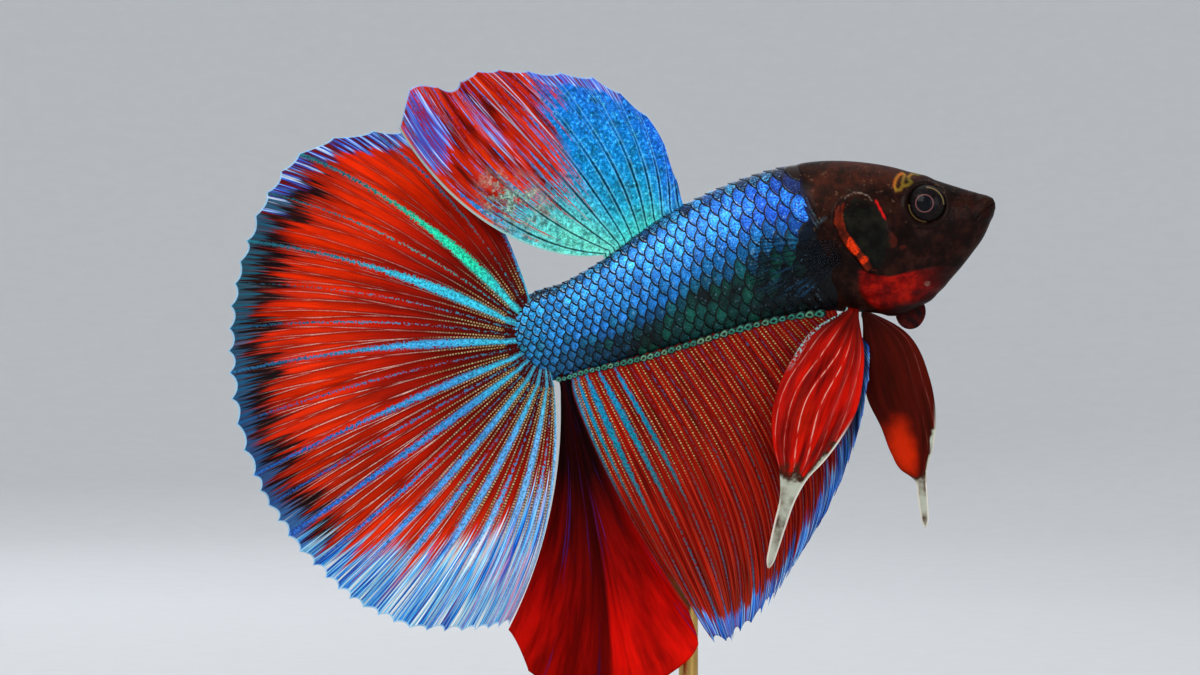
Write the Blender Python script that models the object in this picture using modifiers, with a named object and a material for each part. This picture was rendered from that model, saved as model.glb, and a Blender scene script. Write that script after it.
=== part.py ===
"""A halfmoon betta (Betta splendens), life size, as a still display model on a small stand.

The fish faces +X and its right side faces -Y. The origin is the centre of the stand's underside.
The body is a loft along a straight axis that is pitched head up, and each fin is a fan of bent rays.
Sizes are in millimetres until a mesh is made, where MM turns them into metres.
"""

import math

import bmesh
import bpy
import numpy as np
from mathutils import Vector

MM = 0.001
GAP = 0.32  # clearance between two pieces that meet

# Driving dimensions of the fish, in millimetres and degrees
BODY_LENGTH = 45.0  # from the snout to the end of the tail stalk
BODY_PITCH = 15.67  # the head is carried this much above the tail
SNOUT_X, SNOUT_Z = 34.55, 58.0
TAIL_SWING = 1.6  # how far the end of the tail stalk bends towards the right side
SWING_START = 20.0  # the bend starts this far behind the snout
FIN_THICKNESS = 0.55

# Where the body is parted, as distances behind the snout
HEAD_END = 14.2
TRUNK_END = 34.0

# Sections of the body: distance behind the snout, top, bottom, half width and height of the widest line
BODY_SECTIONS = (
    (0.0, 0.55, -0.45, 0.55, 0.1),
    (0.7, 1.1, -1.4, 1.1, 0.0),
    (1.6, 1.65, -2.5, 1.5, -0.1),
    (3.1, 2.6, -3.75, 2.05, -0.1),
    (5.3, 4.05, -5.3, 2.6, 0.0),
    (8.0, 5.75, -6.75, 3.05, 0.1),
    (11.0, 7.1, -7.25, 3.35, 0.3),
    (14.2, 8.05, -6.2, 3.5, 0.7),
    (18.7, 8.5, -5.05, 3.45, 1.2),
    (24.0, 8.15, -4.6, 3.1, 1.2),
    (30.0, 6.85, -4.7, 2.5, 0.8),
    (35.7, 4.75, -4.8, 1.9, 0.0),
    (39.7, 3.75, -4.8, 1.45, -0.4),
    (43.0, 3.45, -4.6, 1.0, -0.6),
    (44.6, 2.5, -3.6, 0.7, -0.6),
    (45.4, 1.2, -2.2, 0.45, -0.6),
)
BACK_FULLNESS = 2.1  # exponents of the section above the widest line
BELLY_FULLNESS = 1.65  # and below it, where the flanks draw in to the anal fin
AROUND = 20
STATION_STEP = 1.3

# Head
EYE_AT, EYE_HEIGHT = 6.15, 1.6
EYE_RADIUS, EYE_HALF_DEPTH, EYE_OUT = 1.8, 1.05, 2.12
MOUTH_CORNER = (2.5, -1.05)
JAW_JOINT = (5.0, -2.9)
CHIN_BACK = 6.4
GILL_COVER_CENTRE = (11.0, -0.4)
GILL_COVER_HALF_LENGTH, GILL_COVER_HALF_HEIGHT = 3.1, 4.3
GILL_COVER_LEAN = 0.8  # its top is this much further back than its middle
GILL_COVER_THICKNESS = 0.5
GILL_MEMBRANE_MIDDLE, GILL_MEMBRANE_HALF_LENGTH, GILL_MEMBRANE_DROP, GILL_MEMBRANE_OUT = 9.9, 1.4, 1.3, 1.0

# Stand
BASE_LENGTH, BASE_WIDTH, BASE_HEIGHT = 60.0, 38.0, 6.0
BASE_CORNER, BASE_BEVEL = 6.0, 1.0
ROD_RADIUS, ROD_BEND_RADIUS = 0.9, 5.5
ROD_X, ROD_Y = 7.0, 9.6  # the rod stands behind the left side
ROD_SINK = 3.0  # depth of its hole in the base
ROD_IN_BODY = 1.1
COLLAR_RADIUS, COLLAR_HEIGHT = 2.6, 1.4


def through(table, at, column):
    """The smooth curve through one column of a table, read at these places along its first column."""
    x, y = np.array([(row[0], row[column]) for row in table], float).T
    at = np.clip(np.asarray(at, float), x[0], x[-1])
    slope = np.gradient(y, x)
    i = np.clip(np.searchsorted(x, at, side="right") - 1, 0, len(x) - 2)
    span = x[i + 1] - x[i]
    t = (at - x[i]) / span
    rise = y[i + 1] - y[i]
    start, end = slope[i] * span, slope[i + 1] * span
    return y[i] + t * start + t * t * (3 * rise - 2 * start - end) + t**3 * (start + end - 2 * rise)


def swing(behind_snout):
    """How far the body's middle plane has bent to -Y at this distance behind the snout."""
    reach = (np.asarray(behind_snout, float) - SWING_START) / (BODY_LENGTH - SWING_START)
    return -TAIL_SWING * np.maximum(reach, 0.0) ** 2


def placed(behind_snout, height, side):
    """A point of the body's own frame in the model's frame: side is measured from the bent middle plane."""
    pitch = math.radians(BODY_PITCH)
    along, height = np.asarray(behind_snout, float), np.asarray(height, float)
    x = SNOUT_X - along * math.cos(pitch) - height * math.sin(pitch)
    z = SNOUT_Z - along * math.sin(pitch) + height * math.cos(pitch)
    y = np.asarray(side, float) + swing(along)
    return np.stack(np.broadcast_arrays(x, y, z), axis=-1)


def half_width(behind_snout, height):
    """The body's half width at a height, from the section there."""
    top, bottom, wide, belt = (float(through(BODY_SECTIONS, behind_snout, c)) for c in (1, 2, 3, 4))
    reach = (height - belt) / (top - belt) if height > belt else (belt - height) / (belt - bottom)
    fullness = BACK_FULLNESS if height > belt else BELLY_FULLNESS
    return wide * max(0.0, 1.0 - min(1.0, reach) ** fullness) ** (1.0 / fullness)


def section(behind_snout, shrink=0.0):
    """One closed ring of the body, from the belly up the right side and down the left."""
    top, bottom, wide, belt = (float(through(BODY_SECTIONS, behind_snout, c)) for c in (1, 2, 3, 4))
    turn = np.linspace(-math.pi, math.pi, AROUND, endpoint=False) - math.pi / 2
    up, across = np.sin(turn), np.cos(turn)
    fullness = np.where(up > 0, BACK_FULLNESS, BELLY_FULLNESS)
    height = belt + np.where(up > 0, top - belt, belt - bottom) * up
    side = np.sign(across) * wide * (1.0 - np.abs(up) ** fullness).clip(0.0) ** (1.0 / fullness)
    return placed(behind_snout, height * (1.0 - shrink), side)


def collection(name):
    made = bpy.data.collections.new(name)
    bpy.context.scene.collection.children.link(made)
    return made


def material(name, colour, roughness, metallic=0.0):
    made = bpy.data.materials.new(name)
    made.use_nodes = True
    shader = made.node_tree.nodes["Principled BSDF"]
    shader.inputs["Base Color"].default_value = (*colour, 1.0)
    shader.inputs["Roughness"].default_value = roughness
    shader.inputs["Metallic"].default_value = metallic
    return made


def link(name, data, home, finish):
    made = bpy.data.objects.new(name, data)
    home.objects.link(made)
    if finish is not None:
        data.materials.append(finish)
    return made


def loft(name, rings, home, finish):
    """A closed solid through a row of rings, with a flat face at each end."""
    bm = bmesh.new()
    rows = [[bm.verts.new(Vector(p) * MM) for p in ring] for ring in rings]
    for lower, upper in zip(rows, rows[1:]):
        for i in range(len(lower)):
            j = (i + 1) % len(lower)
            bm.faces.new((lower[i], lower[j], upper[j], upper[i]))
    bm.faces.new(reversed(rows[0]))
    bm.faces.new(rows[-1])
    bmesh.ops.recalc_face_normals(bm, faces=bm.faces)
    mesh = bpy.data.meshes.new(name)
    bm.to_mesh(mesh)
    bm.free()
    made = link(name, mesh, home, finish)
    mesh.shade_smooth()
    return made


def sheet(name, grid, thickness, home, finish):
    """A thin solid on both sides of a grid of points: rows of the grid run along a fin's rays."""
    bm = bmesh.new()
    rows = [[bm.verts.new(Vector(p) * MM) for p in row] for row in grid]
    for left, right in zip(rows, rows[1:]):
        for i in range(len(left) - 1):
            bm.faces.new((left[i], left[i + 1], right[i + 1], right[i]))
    mesh = bpy.data.meshes.new(name)
    bm.to_mesh(mesh)
    bm.free()
    made = link(name, mesh, home, finish)
    solid = made.modifiers.new("thickness", "SOLIDIFY")
    solid.thickness = thickness * MM
    solid.offset = 0.0
    mesh.shade_smooth()
    return made


def boolean(target, cutter, operation):
    step = target.modifiers.new(f"{operation.lower()} {cutter.name}", "BOOLEAN")
    step.operation = operation
    step.object = cutter


def as_cutter(made):
    made.hide_render = True
    made.display_type = "WIRE"
    return made


def ellipsoid(name, centre, radii, home, finish=None, segments=16, rings=10):
    """A ball squashed along Y, with its poles at the two sides."""
    bm = bmesh.new()
    bmesh.ops.create_uvsphere(bm, u_segments=segments, v_segments=rings, radius=1.0)
    for v in bm.verts:
        x, y, z = v.co
        v.co = Vector((x * radii[0], -z * radii[1], y * radii[2])) * MM
    mesh = bpy.data.meshes.new(name)
    bm.to_mesh(mesh)
    bm.free()
    made = link(name, mesh, home, finish)
    made.location = Vector(centre) * MM
    mesh.shade_smooth()
    return made


def rod_through_y(name, centre, radius, length, home):
    """A cylinder along Y, used to bore a hole."""
    bpy.ops.mesh.primitive_cylinder_add(
        vertices=16, radius=radius * MM, depth=length * MM, location=Vector(centre) * MM,
        rotation=(math.pi / 2, 0.0, 0.0),
    )
    return adopt(name, home)


def adopt(name, home, finish=None):
    """Names the object that an operator has just made and moves it to its collection."""
    made = bpy.context.object
    made.name = made.data.name = name
    for holder in list(made.users_collection):
        holder.objects.unlink(made)
    home.objects.link(made)
    if finish is not None:
        made.data.materials.append(finish)
    return made


# ------------------------------------------------------------------ body


def body_piece(name, start, end, home, finish):
    count = max(2, round((end - start) / STATION_STEP) + 1)
    return loft(name, [section(s) for s in np.linspace(start, end, count)], home, finish)


def jaw_block(name, grow, home):
    """The space in front of and under the mouth line, which parts the lower jaw from the head."""
    outline = (
        (-2.0, 0.95 + grow),
        (MOUTH_CORNER[0], MOUTH_CORNER[1] + grow),
        (JAW_JOINT[0] + grow, JAW_JOINT[1] + grow),
        (CHIN_BACK + grow, -9.0),
        (-2.0, -9.0),
    )
    rings = [[placed(s, h, side) for s, h in outline] for side in (-5.0, 5.0)]
    return as_cutter(loft(name, rings, home, None))


def make_head(parts, cutters, skin):
    """The skull and cheeks, with an orbit for each eye, and the lower jaw parted from it."""
    head = body_piece("head", 0.0, HEAD_END, parts, skin)
    jaw = body_piece("lower_jaw", 0.0, HEAD_END, parts, skin)
    boolean(jaw, jaw_block("jaw_space", 0.0, cutters), "INTERSECT")
    boolean(head, jaw_block("jaw_clearance", GAP, cutters), "DIFFERENCE")
    for name, side in (("right", -1), ("left", 1)):
        orbit = ellipsoid(
            f"orbit_{name}", placed(EYE_AT, EYE_HEIGHT, side * EYE_OUT),
            (EYE_RADIUS + GAP, EYE_HALF_DEPTH + GAP, EYE_RADIUS + GAP), cutters,
        )
        boolean(head, as_cutter(orbit), "DIFFERENCE")


def make_eyes(parts, finish):
    for name, side in (("right", -1), ("left", 1)):
        ellipsoid(
            f"eye_{name}", placed(EYE_AT, EYE_HEIGHT, side * EYE_OUT),
            (EYE_RADIUS, EYE_HALF_DEPTH, EYE_RADIUS), parts, finish,
        )


def make_gill_covers(parts, finish):
    """The bony plate over the gills on each side: an oval of the flank's own shape, standing just proud of it."""
    along, across = GILL_COVER_CENTRE
    for name, side in (("right", -1), ("left", 1)):
        grid = []
        for u in np.linspace(-1.0, 1.0, 9):
            row = []
            for v in np.linspace(-1.0, 1.0, 9):
                round_u, round_v = u * math.sqrt(1 - v * v / 2), v * math.sqrt(1 - u * u / 2)
                s = along + GILL_COVER_HALF_LENGTH * round_u + GILL_COVER_LEAN * round_v
                h = across + GILL_COVER_HALF_HEIGHT * round_v
                out = half_width(s, h) + GAP + GILL_COVER_THICKNESS / 2
                row.append(placed(s, h, side * out))
            grid.append(row)
        sheet(f"gill_cover_{name}", grid, GILL_COVER_THICKNESS, parts, finish)


def make_gill_membrane(parts, finish):
    """The lobe of red gill membrane that hangs below the throat on the left side."""
    grid = []
    for u in np.linspace(-1.0, 1.0, 7):
        drop = 0.25 + GILL_MEMBRANE_DROP * (1 - u * u) ** 0.5
        s = GILL_MEMBRANE_MIDDLE + GILL_MEMBRANE_HALF_LENGTH * u
        top = float(through(BODY_SECTIONS, s, 2)) - 0.15
        grid.append([placed(s, top - drop * v, GILL_MEMBRANE_OUT) for v in np.linspace(0.0, 1.0, 4)])
    sheet("gill_membrane_left", grid, GILL_COVER_THICKNESS, parts, finish)


# ------------------------------------------------------------------ fins


def rays(table, at, steps):
    """The rays of a fan, as a grid of (along X, sideways, up) offsets from each ray's root.

    Each row of the table is one ray: place in the fin from 0 to 1, heading at the root, bend by the tip, length,
    sideways bow at mid length, sideways lean of the tip, and curl. Headings are in degrees from +X, upwards
    positive. A ray bends evenly where its curl is 1, mostly near the root below that and near the tip above it.
    """
    heading, bend, length, bow, lean, curl = (through(table, at, column)[:, None] for column in range(1, 7))
    t = np.linspace(0.0, 1.0, steps)[None, :]
    fine = np.linspace(0.0, 1.0, 8 * (steps - 1) + 1)[None, :]
    angle = np.radians(heading + bend * fine**curl)
    step = length / (fine.size - 1)
    run = np.cumsum(np.cos(angle) * step, axis=1) - np.cos(angle[:, :1]) * step
    rise = np.cumsum(np.sin(angle) * step, axis=1) - np.sin(angle[:, :1]) * step
    sideways = bow * 4 * t * (1 - t) + lean * t * t
    return np.stack((run[:, ::8], sideways, rise[:, ::8]), axis=-1)


def pleats(at, steps, depth, count, phase=0.0):
    """Sideways folds that open from nothing at the root to their full depth at the rim."""
    t = np.linspace(0.0, 1.0, steps)[None, :]
    wave = depth * np.sin(2 * math.pi * (count * at[:, None] + phase)) * t**1.6
    return np.stack((0 * wave, wave, 0 * wave), axis=-1)


CAUDAL_TOP, CAUDAL_BOTTOM = 3.3, -4.75  # heights of the first and last ray on the tail stalk
CAUDAL_EDGE = 42.9  # where the first and last ray leave the stalk, behind the snout
CAUDAL_BULGE = 2.85  # the stalk's rounded end reaches this much further back
# place, heading, bend, length, bow, lean: from the top edge down to the bottom edge
CAUDAL_RAYS = (
    (0.00, 106.0, 30.0, 18.4, 0.6, 4.6, 1.0),
    (0.06, 114.0, 26.0, 19.2, 0.6, 4.2, 1.0),
    (0.12, 123.0, 26.0, 22.0, 0.5, 3.6, 1.0),
    (0.18, 131.0, 27.0, 24.0, 0.3, 2.8, 1.0),
    (0.30, 153.0, 20.0, 24.8, 0.0, 1.6, 1.0),
    (0.45, 180.0, 13.0, 25.2, -0.2, 0.0, 1.0),
    (0.58, 202.0, 6.0, 25.4, -0.4, -1.4, 1.0),
    (0.72, 228.0, -9.0, 25.4, -0.6, -2.6, 1.0),
    (0.80, 239.0, -13.0, 25.2, -0.7, -3.2, 1.0),
    (0.88, 252.0, -18.0, 24.4, -0.8, -3.8, 1.0),
    (0.95, 266.0, -26.0, 22.9, -0.9, -4.4, 1.0),
    (1.00, 277.0, -35.0, 22.0, -1.0, -5.0, 1.0),
)
CAUDAL_PLEATS = ((0.75, 3.0, 0.1), (0.3, 10.0, 0.0))  # depth, how many, phase
CAUDAL_SPLIT = 0.5
CAUDAL_COLUMNS, CAUDAL_STEPS = 22, 9

DORSAL_FRONT, DORSAL_BACK = 27.2, 35.4
DORSAL_RAYS = (
    (0.00, 106.0, 0.0, 2.2, 0.0, 0.0, 1.0),
    (0.12, 92.0, 12.0, 6.2, 0.0, -0.2, 1.0),
    (0.25, 92.0, 26.0, 10.4, 0.1, -0.2, 1.0),
    (0.40, 97.0, 30.0, 14.2, 0.3, 0.1, 1.0),
    (0.55, 106.0, 30.0, 16.8, 0.3, 0.6, 1.0),
    (0.70, 118.0, 20.0, 19.5, 0.0, 0.6, 1.0),
    (0.80, 129.0, 5.0, 20.5, -0.4, -0.9, 1.0),
    (0.88, 148.0, -24.0, 21.0, -0.7, 0.7, 1.0),
    (0.94, 165.0, -46.0, 23.6, -1.0, -2.6, 0.8),
    (1.00, 196.0, -76.0, 22.9, -1.2, -1.3, 0.6),
)
DORSAL_PLEATS = ((0.22, 9.0, 0.0),)
DORSAL_COLUMNS, DORSAL_STEPS = 32, 9

# The hind lobe has many crowded rays, so the roots of the anal fin are a table of their own:
# place in the fin, and distance behind the snout
ANAL_ROOTS = ((0.0, 16.4), (0.2, 22.9), (0.4, 29.4), (0.6, 35.8), (0.74, 40.3), (0.8, 41.2), (1.0, 42.3))
ANAL_RAYS = (
    (0.00, -38.0, -20.0, 4.0, 0.0, 0.2, 2.0),
    (0.05, -41.0, -46.0, 8.2, 0.1, 0.4, 2.0),
    (0.12, -46.0, -60.0, 13.8, 0.0, 0.5, 2.0),
    (0.24, -52.0, -74.0, 22.0, -0.2, 0.2, 2.0),
    (0.36, -54.0, -62.0, 24.6, -0.5, -0.4, 2.0),
    (0.47, -55.0, -48.0, 25.6, -0.8, -1.2, 2.0),
    (0.58, -58.0, -36.0, 26.6, -1.0, -1.8, 2.0),
    (0.69, -62.0, -6.0, 26.6, -1.0, -2.2, 1.4),
    (0.76, -73.0, 17.0, 25.7, -1.0, -2.2, 0.6),
    (0.80, -78.0, 23.0, 23.2, -0.9, -1.6, 0.5),
    (0.84, -80.0, 22.0, 27.8, 0.9, 1.8, 0.6),
    (0.88, -76.0, -6.0, 28.6, 1.1, 3.6, 1.6),
    (0.92, -78.0, -24.0, 28.8, 1.2, 4.8, 1.8),
    (0.96, -82.0, -30.0, 27.8, 1.2, 5.0, 1.4),
    (1.00, -87.0, -30.0, 23.2, 1.2, 4.2, 1.0),
)
ANAL_PLEATS = ((0.3, 9.0, 0.0),)
ANAL_CREST = 0.8
ANAL_COLUMNS, ANAL_STEPS = (24, 14), 9

PECTORAL_ROOT = (15.3, -0.3)
PECTORAL_ROOT_HALF = 1.1
PECTORAL_RAYS = (
    (0.0, 175.0, 6.0, 6.6, 0.3, 1.6, 1.0),
    (0.5, 199.0, 2.0, 8.2, 0.3, 1.9, 1.0),
    (1.0, 226.0, -4.0, 6.0, 0.3, 1.6, 1.0),
)
PECTORAL_COLUMNS, PECTORAL_STEPS = 8, 6


def caudal_root(at, clear=GAP):
    """Root line of the tail fin, around the rounded end of the tail stalk."""
    middle = (CAUDAL_TOP + CAUDAL_BOTTOM) / 2
    half = (CAUDAL_TOP - CAUDAL_BOTTOM) / 2
    turn = math.pi * (0.5 - at)
    return placed(CAUDAL_EDGE + (CAUDAL_BULGE + clear) * np.cos(turn), middle + (half + clear) * np.sin(turn), 0.0)


def ridge_root(behind_snout, column, clear):
    """Root line of a fin along the back (column 1) or the belly (column 2)."""
    return placed(behind_snout, through(BODY_SECTIONS, behind_snout, column) + clear, 0.0)


def fan(roots, table, at, steps, folds):
    """A fin's grid of points: its rays from their roots, with its pleats."""
    grid = roots[:, None, :] + rays(table, at, steps)
    for depth, count, phase in folds:
        grid = grid + pleats(at, steps, depth, count, phase)
    return grid


def draw_in(grid, ray, neighbour, distance):
    """Moves one edge ray of a fin towards its neighbour, to clear the fin's other half."""
    aside = grid[neighbour] - grid[ray]
    grid[ray] += aside / np.linalg.norm(aside, axis=1, keepdims=True) * distance


def make_caudal(parts, finish):
    """The tail fin, parted along its middle ray into an upper and a lower lobe."""
    for name, start, end in (("caudal_fin_upper", 0.0, CAUDAL_SPLIT), ("caudal_fin_lower", CAUDAL_SPLIT, 1.0)):
        at = np.linspace(start, end, CAUDAL_COLUMNS)
        grid = fan(caudal_root(at), CAUDAL_RAYS, at, CAUDAL_STEPS, CAUDAL_PLEATS)
        if end < 1.0:
            draw_in(grid, -1, -2, GAP / 2)
        else:
            draw_in(grid, 0, 1, GAP / 2)
        sheet(name, grid, FIN_THICKNESS, parts, finish)


def make_dorsal(parts, finish):
    at = np.linspace(0.0, 1.0, DORSAL_COLUMNS)
    roots = ridge_root(DORSAL_FRONT + (DORSAL_BACK - DORSAL_FRONT) * at, 1, GAP)
    grid = fan(roots, DORSAL_RAYS, at, DORSAL_STEPS, DORSAL_PLEATS)
    sheet("dorsal_fin", grid, FIN_THICKNESS, parts, finish)


def make_anal(parts, finish):
    """The anal fin, parted at the crest where its hind lobe turns away behind the front one."""
    halves = (("anal_fin_front", 0.0, ANAL_CREST), ("anal_fin_hind_lobe", ANAL_CREST, 1.0))
    for (name, start, end), columns in zip(halves, ANAL_COLUMNS):
        at = np.linspace(start, end, columns)
        roots = ridge_root(through(ANAL_ROOTS, at, 1), 2, -GAP)
        grid = fan(roots, ANAL_RAYS, at, ANAL_STEPS, ANAL_PLEATS)
        if end < 1.0:
            draw_in(grid, -1, -2, GAP)
        else:
            draw_in(grid, 0, 1, GAP)
        sheet(name, grid, FIN_THICKNESS, parts, finish)


def make_pectorals(parts, finish):
    """The pair of rowing fins behind the gill covers, folded back along the flanks."""
    at = np.linspace(0.0, 1.0, PECTORAL_COLUMNS)
    s, h = PECTORAL_ROOT
    for name, side in (("right", -1), ("left", 1)):
        roots = []
        for place in at:
            height = h + PECTORAL_ROOT_HALF * (1 - 2 * place)
            out = half_width(s, height) + GAP + FIN_THICKNESS
            roots.append(placed(s, height, side * out))
        offsets = rays(PECTORAL_RAYS, at, PECTORAL_STEPS)
        offsets[..., 1] *= side
        sheet(f"pectoral_fin_{name}", np.array(roots)[:, None, :] + offsets, FIN_THICKNESS, parts, finish)


# Pelvic fins: one ray is the spine of each, and the blade narrows to a long bare tip
PELVIC_SPINES = {
    # distance behind the snout, heading, bend, length, bow, lean, curl
    "right": (14.95, -114.0, 10.0, 24.2, -1.9, -2.4, 1.0),
    "left": (13.9, -50.0, -36.0, 20.4, 1.0, 1.4, 0.5),
}
PELVIC_ROOT_OUT = 0.75
# share of the length, and the blade's half widths ahead of the spine and behind it
PELVIC_BLADES = {
    "right": ((0.0, 0.4, 0.4), (0.12, 2.2, 2.4), (0.22, 3.0, 3.3), (0.33, 3.4, 4.0), (0.46, 2.9, 3.7),
              (0.56, 2.1, 2.7), (0.64, 1.2, 1.5), (0.72, 0.75, 0.8), (1.0, 0.32, 0.32)),
    "left": ((0.0, 0.4, 0.4), (0.16, 2.5, 2.1), (0.36, 2.9, 3.1), (0.52, 2.5, 2.6), (0.65, 1.7, 2.2),
             (0.73, 0.9, 1.6), (0.78, 0.6, 0.6), (1.0, 0.32, 0.32)),
}
PELVIC_COLUMNS, PELVIC_STEPS = 5, 16


def make_pelvics(parts, finish):
    """The pair of leaf-shaped fins under the throat, each ending in a long white filament."""
    for name, side in (("right", -1), ("left", 1)):
        back, *spine = PELVIC_SPINES[name]
        line = rays(((0.0, *spine), (1.0, *spine)), np.zeros(1), PELVIC_STEPS)[0]
        belly = float(through(BODY_SECTIONS, back, 2))
        root = placed(back, belly - 0.2, side * PELVIC_ROOT_OUT)
        t = np.linspace(0.0, 1.0, PELVIC_STEPS)
        ahead, behind = (through(PELVIC_BLADES[name], t, column) for column in (1, 2))
        run = np.gradient(line, axis=0)
        run /= np.linalg.norm(run, axis=1, keepdims=True)
        forward = np.stack((-run[:, 2], 0 * t, run[:, 0]), axis=-1)
        grid = []
        for share in np.linspace(-1.0, 1.0, PELVIC_COLUMNS):
            width = np.where(share > 0, ahead, behind) * share
            grid.append(root + line + forward * width[:, None])
        sheet(f"pelvic_fin_{name}", grid, FIN_THICKNESS, parts, finish)


# ------------------------------------------------------------------ stand


def rod_points():
    """Middle line of the rod: up from the base, then round a bend and level into the left flank."""
    height_in_body = 0.9
    pitch = math.radians(BODY_PITCH)
    along = (SNOUT_X - ROD_X - height_in_body * math.sin(pitch)) / math.cos(pitch)
    level = float(placed(along, height_in_body, 0.0)[2])
    flank = half_width(along, height_in_body) + float(swing(along))
    points = [(ROD_X, ROD_Y, BASE_HEIGHT - ROD_SINK + GAP), (ROD_X, ROD_Y, level - ROD_BEND_RADIUS)]
    for turn in np.linspace(0.0, math.pi / 2, 7)[1:]:
        points.append((
            ROD_X,
            ROD_Y - ROD_BEND_RADIUS * (1 - math.cos(turn)),
            level - ROD_BEND_RADIUS * (1 - math.sin(turn)),
        ))
    points.append((ROD_X, flank - ROD_IN_BODY + GAP, level))
    return points


def make_rod(parts, finish):
    points = rod_points()
    curve = bpy.data.curves.new("stand_rod", "CURVE")
    curve.dimensions = "3D"
    curve.bevel_depth = ROD_RADIUS * MM
    curve.bevel_resolution = 2
    curve.use_fill_caps = True
    line = curve.splines.new("POLY")
    line.points.add(len(points) - 1)
    for vertex, (x, y, z) in zip(line.points, points):
        vertex.co = (x * MM, y * MM, z * MM, 1.0)
    link("stand_rod", curve, parts, finish)


def make_base(parts, cutters, finish):
    """The flat base: a rounded rectangle with a bevelled top edge and a hole for the rod."""
    outline = []
    for corner in range(4):
        x = (BASE_LENGTH / 2 - BASE_CORNER) * (1 if corner in (0, 3) else -1)
        y = (BASE_WIDTH / 2 - BASE_CORNER) * (1 if corner < 2 else -1)
        for turn in np.linspace(0.0, math.pi / 2, 7) + corner * math.pi / 2:
            outline.append((x + BASE_CORNER * math.cos(turn), y + BASE_CORNER * math.sin(turn)))

    def ring(height, inset):
        scale_x, scale_y = 1 - 2 * inset / BASE_LENGTH, 1 - 2 * inset / BASE_WIDTH
        return [(x * scale_x, y * scale_y, height) for x, y in outline]

    rings = [ring(0.0, 0.4), ring(0.4, 0.0), ring(BASE_HEIGHT - BASE_BEVEL, 0.0)]
    for turn in np.linspace(0.0, math.pi / 2, 4)[1:]:
        rings.append(ring(BASE_HEIGHT - BASE_BEVEL * (1 - math.sin(turn)), BASE_BEVEL * (1 - math.cos(turn))))
    base = loft("stand_base", rings, parts, finish)
    bpy.ops.mesh.primitive_cylinder_add(
        vertices=16, radius=(ROD_RADIUS + GAP) * MM, depth=2 * ROD_SINK * MM,
        location=(ROD_X * MM, ROD_Y * MM, BASE_HEIGHT * MM),
    )
    boolean(base, as_cutter(adopt("rod_hole", cutters)), "DIFFERENCE")


def make_collar(parts, finish):
    """The turned collar that dresses the rod's hole, as a profile round the rod's axis."""
    inner, outer = ROD_RADIUS + GAP, COLLAR_RADIUS
    bottom, top = BASE_HEIGHT + GAP, BASE_HEIGHT + GAP + COLLAR_HEIGHT
    profile = ((outer - 0.9, top), (inner, top), (inner, bottom), (outer, bottom), (outer, top - 0.9))
    bm = bmesh.new()
    rings = []
    for turn in np.linspace(0.0, 2 * math.pi, 20, endpoint=False):
        aim = (math.cos(turn), math.sin(turn))
        rings.append([bm.verts.new(Vector((ROD_X + r * aim[0], ROD_Y + r * aim[1], z)) * MM) for r, z in profile])
    for this, following in zip(rings, rings[1:] + rings[:1]):
        for i in range(len(profile)):
            j = (i + 1) % len(profile)
            bm.faces.new((this[i], following[i], following[j], this[j]))
    bmesh.ops.recalc_face_normals(bm, faces=bm.faces)
    mesh = bpy.data.meshes.new("stand_collar")
    bm.to_mesh(mesh)
    bm.free()
    link("stand_collar", mesh, parts, finish)


def bore_trunk(trunk, cutters):
    """The blind hole in the left flank that the rod enters."""
    tip = rod_points()[-1]
    length = 8.0
    centre = (tip[0], tip[1] - GAP + length / 2, tip[2])
    boolean(trunk, as_cutter(rod_through_y("rod_socket", centre, ROD_RADIUS + GAP, length, cutters)), "DIFFERENCE")


def main():
    for old in list(bpy.data.objects):
        bpy.data.objects.remove(old)
    parts, cutters = collection("betta_fish"), collection("cutters")

    dark_skin = material("dark_head_skin", (0.035, 0.016, 0.012), 0.4)
    blue_scales = material("blue_scales", (0.03, 0.16, 0.6), 0.35, 0.4)
    red_fin = material("red_fin", (0.55, 0.02, 0.01), 0.45)
    blue_fin = material("blue_fin", (0.04, 0.3, 0.65), 0.4, 0.2)
    clear_fin = material("pectoral_fin", (0.05, 0.1, 0.16), 0.4)
    eye = material("eye", (0.01, 0.01, 0.015), 0.1)
    wood = material("stained_wood", (0.05, 0.025, 0.012), 0.45)
    brass = material("brass", (0.7, 0.5, 0.2), 0.3, 1.0)

    make_head(parts, cutters, dark_skin)
    make_eyes(parts, eye)
    make_gill_covers(parts, dark_skin)
    make_gill_membrane(parts, red_fin)
    trunk = body_piece("trunk", HEAD_END + GAP, TRUNK_END, parts, blue_scales)
    bore_trunk(trunk, cutters)
    body_piece("tail_stalk", TRUNK_END + GAP, BODY_SECTIONS[-1][0], parts, blue_scales)

    make_dorsal(parts, blue_fin)
    make_caudal(parts, red_fin)
    make_anal(parts, red_fin)
    make_pectorals(parts, clear_fin)
    make_pelvics(parts, red_fin)

    make_base(parts, cutters, wood)
    make_collar(parts, brass)
    make_rod(parts, brass)


main()
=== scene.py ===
"""A halfmoon betta (Betta splendens), life size, as a still display model on a small stand.

The frame gives the solids. This script gives every surface its form and finish, from the floor up: the skin,
the scales on it, the eyes, each fin, and the stand. Sizes are in millimetres until a mesh is made.
The fish faces +X, its right side faces -Y, and its body is pitched head up along a straight axis.
"""

import math

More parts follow.
